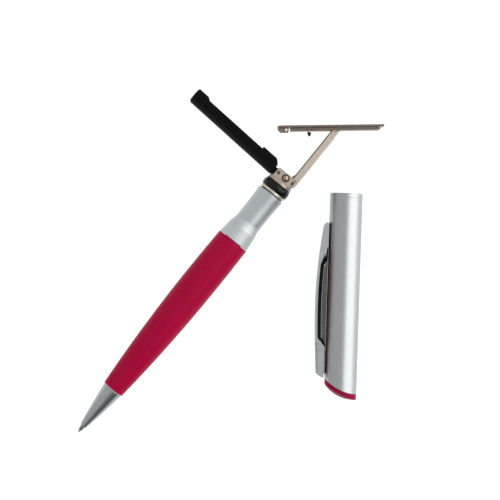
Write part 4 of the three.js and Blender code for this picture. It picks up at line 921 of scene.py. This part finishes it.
def painted_highlight_spot(material, middle, radius, rim, code):
    """Paints a round highlight on a finish, seen from above, that fades between a radius and its rim."""
    nodes, link = material.node_tree.nodes, material.node_tree.links.new
    here = nodes.new("ShaderNodeTexCoord")
    flat = nodes.new("ShaderNodeVectorMath")
    flat.operation = "MULTIPLY"
    flat.inputs[1].default_value = (1, 1, 0)
    link(here.outputs["Object"], flat.inputs[0])
    reach = nodes.new("ShaderNodeVectorMath")
    reach.operation = "DISTANCE"
    reach.inputs[1].default_value = (middle.x, middle.y, 0)
    link(flat.outputs[0], reach.inputs[0])
    mask = nodes.new("ShaderNodeMapRange")
    mask.inputs["From Min"].default_value = radius
    mask.inputs["From Max"].default_value = rim
    mask.inputs["To Min"].default_value = 1.0
    mask.inputs["To Max"].default_value = 0.0
    link(reach.outputs["Value"], mask.inputs["Value"])
    painted(material, mask.outputs[0], code)


flap = [(END_LEFT, PLATE_FACE), (END_LEFT, 0.7965), (-16.9, END_FOOT), (END_RIGHT, END_FOOT),
        (END_RIGHT, RAIL_TOP), (END_WALL, RAIL_TOP), (END_WALL, PLATE_FACE)]
end_clip = raised("plate_end_clip_piece", flap, FLAP_INNER, FLAP_OUTER)
joined(end_clip, "UNION", raised("far_flap", flap, -FLAP_OUTER, -FLAP_INNER),
       block("clip_bridge", (END_LEFT, END_WALL), (1.1, PLATE_FACE), (-FLAP_OUTER, FLAP_OUTER)))
clip_nickel = finish_of("clip_nickel", 0.32, 1, "74675b", "8a7c70", ALONG_PLATE, 0, 0.07, 0.1, 500.0)
# The end clip's finish carries a painted highlight: a near-white round spot on its face that fades out at its
# rim.
spot = plate_place @ (Vector((SPOT_X, SPOT_Y, 0)) * MM)
painted_highlight_spot(clip_nickel, spot, SPOT_RADIUS * MM, SPOT_RIM * MM, "fff6ec")
fitted(softened(end_clip, clip_nickel, 0.05), plate_place, "stamp_plate", "bronze_nickel", "plate_end_clip")


# Stud
# A bright sleeve straddles the rail, and a black tip is pressed into it from below. It rests in
# the arm's channel when the plate is stowed.

lie_across = Matrix.Rotation(math.pi / 2, 4, "Z")
stud_place = plate_place @ Matrix.Translation(Vector((-STUD_BACK, 0, 0)) * MM) @ lie_across
sleeve = turned("stud_sleeve_piece", [(-0.35, 0.33), (-0.35, 0.75, 0.1), (RAIL_TOP, 0.75), (RAIL_TOP, 0.33)],
                arm_nickel, 64)
joined(sleeve, "DIFFERENCE", block("rail_saddle", (-0.05, 2), (-1, 1), (-0.65, 0.65)))
fitted(softened(sleeve, arm_nickel, 0.04), stud_place, "stamp_plate", "champagne_nickel", "stud_sleeve")
tip = turned("stud_tip_piece", [(-1.5, 0), (-1.5, 0.28, 0.12), (-0.4, 0.62, 0.06), (-0.4, 0.28),
             (0.97, 0.28), (0.97, 0)], black_plastic, 48, closed=False)
fitted(tip, stud_place, "stamp_plate", "black_plastic", "stud_tip")


# Cap
# A drawn tube plated satin silver, open at its mouth and cut at a slant at its closed end. A
# white plug closes it, and a glossy red insert is pressed over the slanted end.

CAP_RADIUS = 5.05
CAP_BORE = 4.65
CAP_LENGTH = 60.9
CAP_STRAIGHT = 30
CAP_TILT = math.radians(26.931)
END_SLOPE, END_BOW = 0.444, 1.1
PLUG_FRONT, PLUG_REAR, PLUG_WELL = 56.9, CAP_LENGTH - 0.1, 59.3
INSERT_RIM = 5.0
DOME_RADIUS, DOME_BACK = 11.2, 9.1
ALONG_CAP = (900, 14000, 14000)


def end_curve(y):
    """How far the bowed, slanted end lies behind its middle, at a distance from the axis."""
    return END_SLOPE * y - END_BOW * (y / CAP_RADIUS) ** 2


def to_end_curve(piece, start, end):
    """Draws a turned piece's rear out to the slanted end, from nothing at the first station."""
    for corner in piece.data.vertices:
        share = min(1.0, max(0.0, (corner.co.x / MM - start) / (end - start)))
        corner.co.x += share * end_curve(corner.co.y / MM) * MM
    return piece


cap_low, cap_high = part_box("cap_tube")
cap_mouth = Vector(((cap_low.x + cap_high.x) / 2, cap_high.y, CAP_RADIUS * MM))
cap_place = Matrix.Translation(cap_mouth) @ Matrix.Rotation(-math.pi / 2, 4, "Z")
cap_silver = finish_of("cap_silver", 0.38, 1, "97999a", "a7a8a8", ALONG_CAP, 0, 0.04, 0.04)
cap_tube = turned("cap_tube_piece", [(0, CAP_RADIUS, 0.16), (1.35, CAP_RADIUS, 0.05),
                  (1.45, CAP_RADIUS - 0.035, 0.02), (1.55, CAP_RADIUS, 0.05), (CAP_STRAIGHT, CAP_RADIUS),
                  (45, CAP_RADIUS), (CAP_LENGTH, CAP_RADIUS, 0.12), (CAP_LENGTH, CAP_BORE),
                  (CAP_STRAIGHT, CAP_BORE), (0, CAP_BORE, 0.06)], cap_silver, 160)
fitted(to_end_curve(cap_tube, CAP_STRAIGHT, CAP_LENGTH), cap_place, "cap", "satin_silver", "cap_tube")

plug = turned("end_plug_piece", [(PLUG_FRONT, 0), (PLUG_FRONT, 4.6, 0.05), (PLUG_REAR, 4.6), (PLUG_REAR, 1.6),
              (PLUG_WELL, 1.6), (PLUG_WELL, 0)], acetal, 96, closed=False)
fitted(to_end_curve(plug, 57.0, 60.5), cap_place, "cap", "white_plastic", "end_plug")

red_plastic = finish_of("red_plastic", 0.24, 0, "78062a", "8e0a36", (1500, 1500, 1500), 0, 0.03, 0.03, 90.0)
tuned(red_plastic, {"Specular IOR Level": 0.02, "Coat Weight": 0.03, "Coat Roughness": 0.08})
dome_middle = Vector((CAP_LENGTH - DOME_BACK * math.cos(CAP_TILT), DOME_BACK * math.sin(CAP_TILT)))
insert = turned("cap_insert_piece", [(1, 0), *[(1, INSERT_RIM * k / 20) for k in range(1, 18)],
                (1, INSERT_RIM, 0.5), (0, INSERT_RIM, 0.06), (0, 1.5), (-1, 1.5, 0.2), (-1, 0)],
                red_plastic, 128, closed=False)
for corner in insert.data.vertices:
    level, y, z = corner.co.x / MM, corner.co.y / MM, corner.co.z / MM
    seat = CAP_LENGTH + end_curve(y) + 0.1
    crest = dome_middle.x + math.sqrt(DOME_RADIUS ** 2 - (y - dome_middle.y) ** 2 - z * z)
    corner.co.x = (seat + level * (crest - seat)) * MM if level > 0 else (seat + 1.5 * level) * MM
fitted(insert, cap_place, "cap", "red_plastic", "cap_insert")


# Clip
# A bowed channel of satin silver sheet with a long window in each side, and a black strip set
# under its bow. It stands on a dark rail that is screwed to the tube, pinned at its root.

CLIP_TIP, CLIP_ROOT, CLIP_PIVOT = 9.3, 57.2, 54.2
CLIP_CREST = 35.0
BOW_END = 55.8
WINDOW_START, WINDOW_END = 22.2, 45.0
CREST_HEIGHT = CAP_RADIUS + 3.57
TIP_FALL, ROOT_FALL = 2.1, 0.67
CLIP_FOOT, TIP_FOOT = -5.4, -5.17
CLIP_HALF, FLANGE_INNER = 2.1, 1.7
STRAP = 0.75
PIVOT_DEPTH = -CAP_RADIUS - 1.3
BASE_SEAT = -5.15
BASE_HALF, LINER_HALF = 1.5, 1.6
LINER_TOP, LINER_BELLY = 0.8, 1.9
SCREW_STATION = 49.6
clip_silver = finish_of("clip_silver", 0.34, 1, "9b9c9e", "adaeb0", ALONG_CAP, 0, 0.04, 0.04)


def bow(station, below):
    """A point on the clip's outer face, or below it, at a station along the cap."""
    if station < CLIP_CREST:
        fall = TIP_FALL * ((CLIP_CREST - station) / (CLIP_CREST - CLIP_TIP)) ** 2
    else:
        fall = ROOT_FALL * ((station - CLIP_CREST) / (CLIP_PIVOT - CLIP_CREST)) ** 1.6
    return station, below - (CREST_HEIGHT - fall)


def bowed(start, end, steps, below):
    """Points along the clip's bow between two stations, at one depth below its outer face."""
    return [bow(start + (end - start) * k / steps, below) for k in range(steps + 1)]


tip_foot = [(9.6, TIP_FOOT), (9.15, TIP_FOOT - 0.3)]
strap = [*bowed(CLIP_TIP, BOW_END, 60, 0), *bowed(BOW_END, CLIP_TIP, 60, STRAP)]
front = [*bowed(CLIP_TIP, WINDOW_START, 16, 0), bow(WINDOW_START, STRAP), (16.5, TIP_FOOT), *tip_foot]
rear = [*bowed(WINDOW_END, BOW_END, 16, 0), (56.6, CLIP_FOOT - 1.6), (CLIP_ROOT, CLIP_FOOT - 0.3),
        (56.9, CLIP_FOOT), (47.7, CLIP_FOOT), bow(WINDOW_END, STRAP)]
nose_block = [*bowed(CLIP_TIP, 11.9, 4, 0), (11.9, TIP_FOOT), *tip_foot]
clip = raised("clip_piece", strap, -CLIP_HALF, CLIP_HALF)
joined(clip, "UNION", raised("clip_nose", nose_block, -CLIP_HALF, CLIP_HALF),
       raised("flange_a", front, FLANGE_INNER, CLIP_HALF),
       raised("flange_b", front, -CLIP_HALF, -FLANGE_INNER),
       raised("flange_c", rear, FLANGE_INNER, CLIP_HALF),
       raised("flange_d", rear, -CLIP_HALF, -FLANGE_INNER))
tip_station, tip_top = bow(CLIP_TIP + 2.4, 0)
tip_edge = -CAP_RADIUS - 0.5
round_tip = [(tip_station + 2.5 * x, tip_edge + (tip_edge - tip_top) * y)
             for x, y in arc(0, 0, 1, 270, 180, 24)]
joined(clip, "DIFFERENCE", rod("clip_bore", CLIP_PIVOT, PIVOT_DEPTH, PIN_HOLE, -1.95, 1.95),
       raised("tip_corner", [(tip_station, tip_top - 4), *round_tip, (CLIP_TIP - 4, tip_edge),
                             (CLIP_TIP - 4, tip_top - 4)], -4, 4))
softened(clip, clip_silver, 0.1)
seam = [*bowed(46.0, 55.6, 16, 0.46), *bowed(55.6, 46.0, 16, 0.6)]
joined(clip, "DIFFERENCE", raised("seam_a", seam, 2.04, 3), raised("seam_b", seam, -3, -2.04))
# The faces inside the seam's groove take a dark finish: painted shade in the groove.
seam_painted_shade = finish_of("seam_painted_shade", 0.5, 1, "4a4d4d", "5c5f5e", ALONG_CAP)
clip.data.materials.append(seam_painted_shade)
for face in clip.data.polygons:
    inside = 2.0 * MM < abs(face.center.z) < 2.07 * MM and face.center.x > 45.9 * MM
    face.material_index = len(clip.data.materials) - 1 if inside else 0
fitted(clip, cap_place, "clip", "satin_silver", "clip")

liner_side = [*bowed(13.5, 46, 48, LINER_TOP), *bowed(46, 22.6, 36, LINER_BELLY), (21.0, BASE_SEAT),
              (16.05, BASE_SEAT), *bowed(21.3, 13.5, 12, LINER_BELLY)]
liner = raised("clip_liner_piece", liner_side, -LINER_HALF, LINER_HALF)
rear_leg = [bow(45.45, 1.3), bow(44.1, 1.3), (46.8, BASE_SEAT), (48.15, BASE_SEAT)]
joined(liner, "UNION", raised("rear_leg_a", rear_leg, 1.1, LINER_HALF),
       raised("rear_leg_b", rear_leg, -LINER_HALF, -1.1))
fitted(softened(liner, black_plastic, 0.12), cap_place, "clip", "black_plastic", "clip_liner")

dark_nickel = finish_of("dark_nickel", 0.34, 1, "4c4948", "635f5e", (900, 12000, 12000), 0, 0.06, 0.08)
base_side = [(21.2, BASE_SEAT), *bowed(22.8, 52.0, 40, 2.05), (52.8, -7.0), (55.4, -7.0),
             (56.0, BASE_SEAT - 0.3), (56.0, BASE_SEAT)]
base = raised("clip_base_piece", base_side, -BASE_HALF, BASE_HALF)
leg_room = [bow(46.55, 1.3), bow(43.9, 1.3), (46.6, BASE_SEAT), (49.25, BASE_SEAT)]
joined(base, "DIFFERENCE", rod("base_bore", CLIP_PIVOT, PIVOT_DEPTH, PIN_HOLE, -3, 3),
       cross_rod("screw_room", SCREW_STATION, 0.75, 4.5, 8),
       raised("leg_room_a", leg_room, 1.0, 3), raised("leg_room_b", leg_room, -3, -1.0))
fitted(softened(base, dark_nickel, 0.1), cap_place, "cap", "dark_steel", "clip_base")

clip_pin = pin_of("clip_pin_piece", 1.9, 0.1, polished_steel)
clip_pin_place = Matrix.Translation(Vector((CLIP_PIVOT, PIVOT_DEPTH, 0)) * MM) @ stand_up
fitted(clip_pin, cap_place @ clip_pin_place, "cap", "polished_steel", "clip_pin")
dressed("clip_screw", polished_steel)
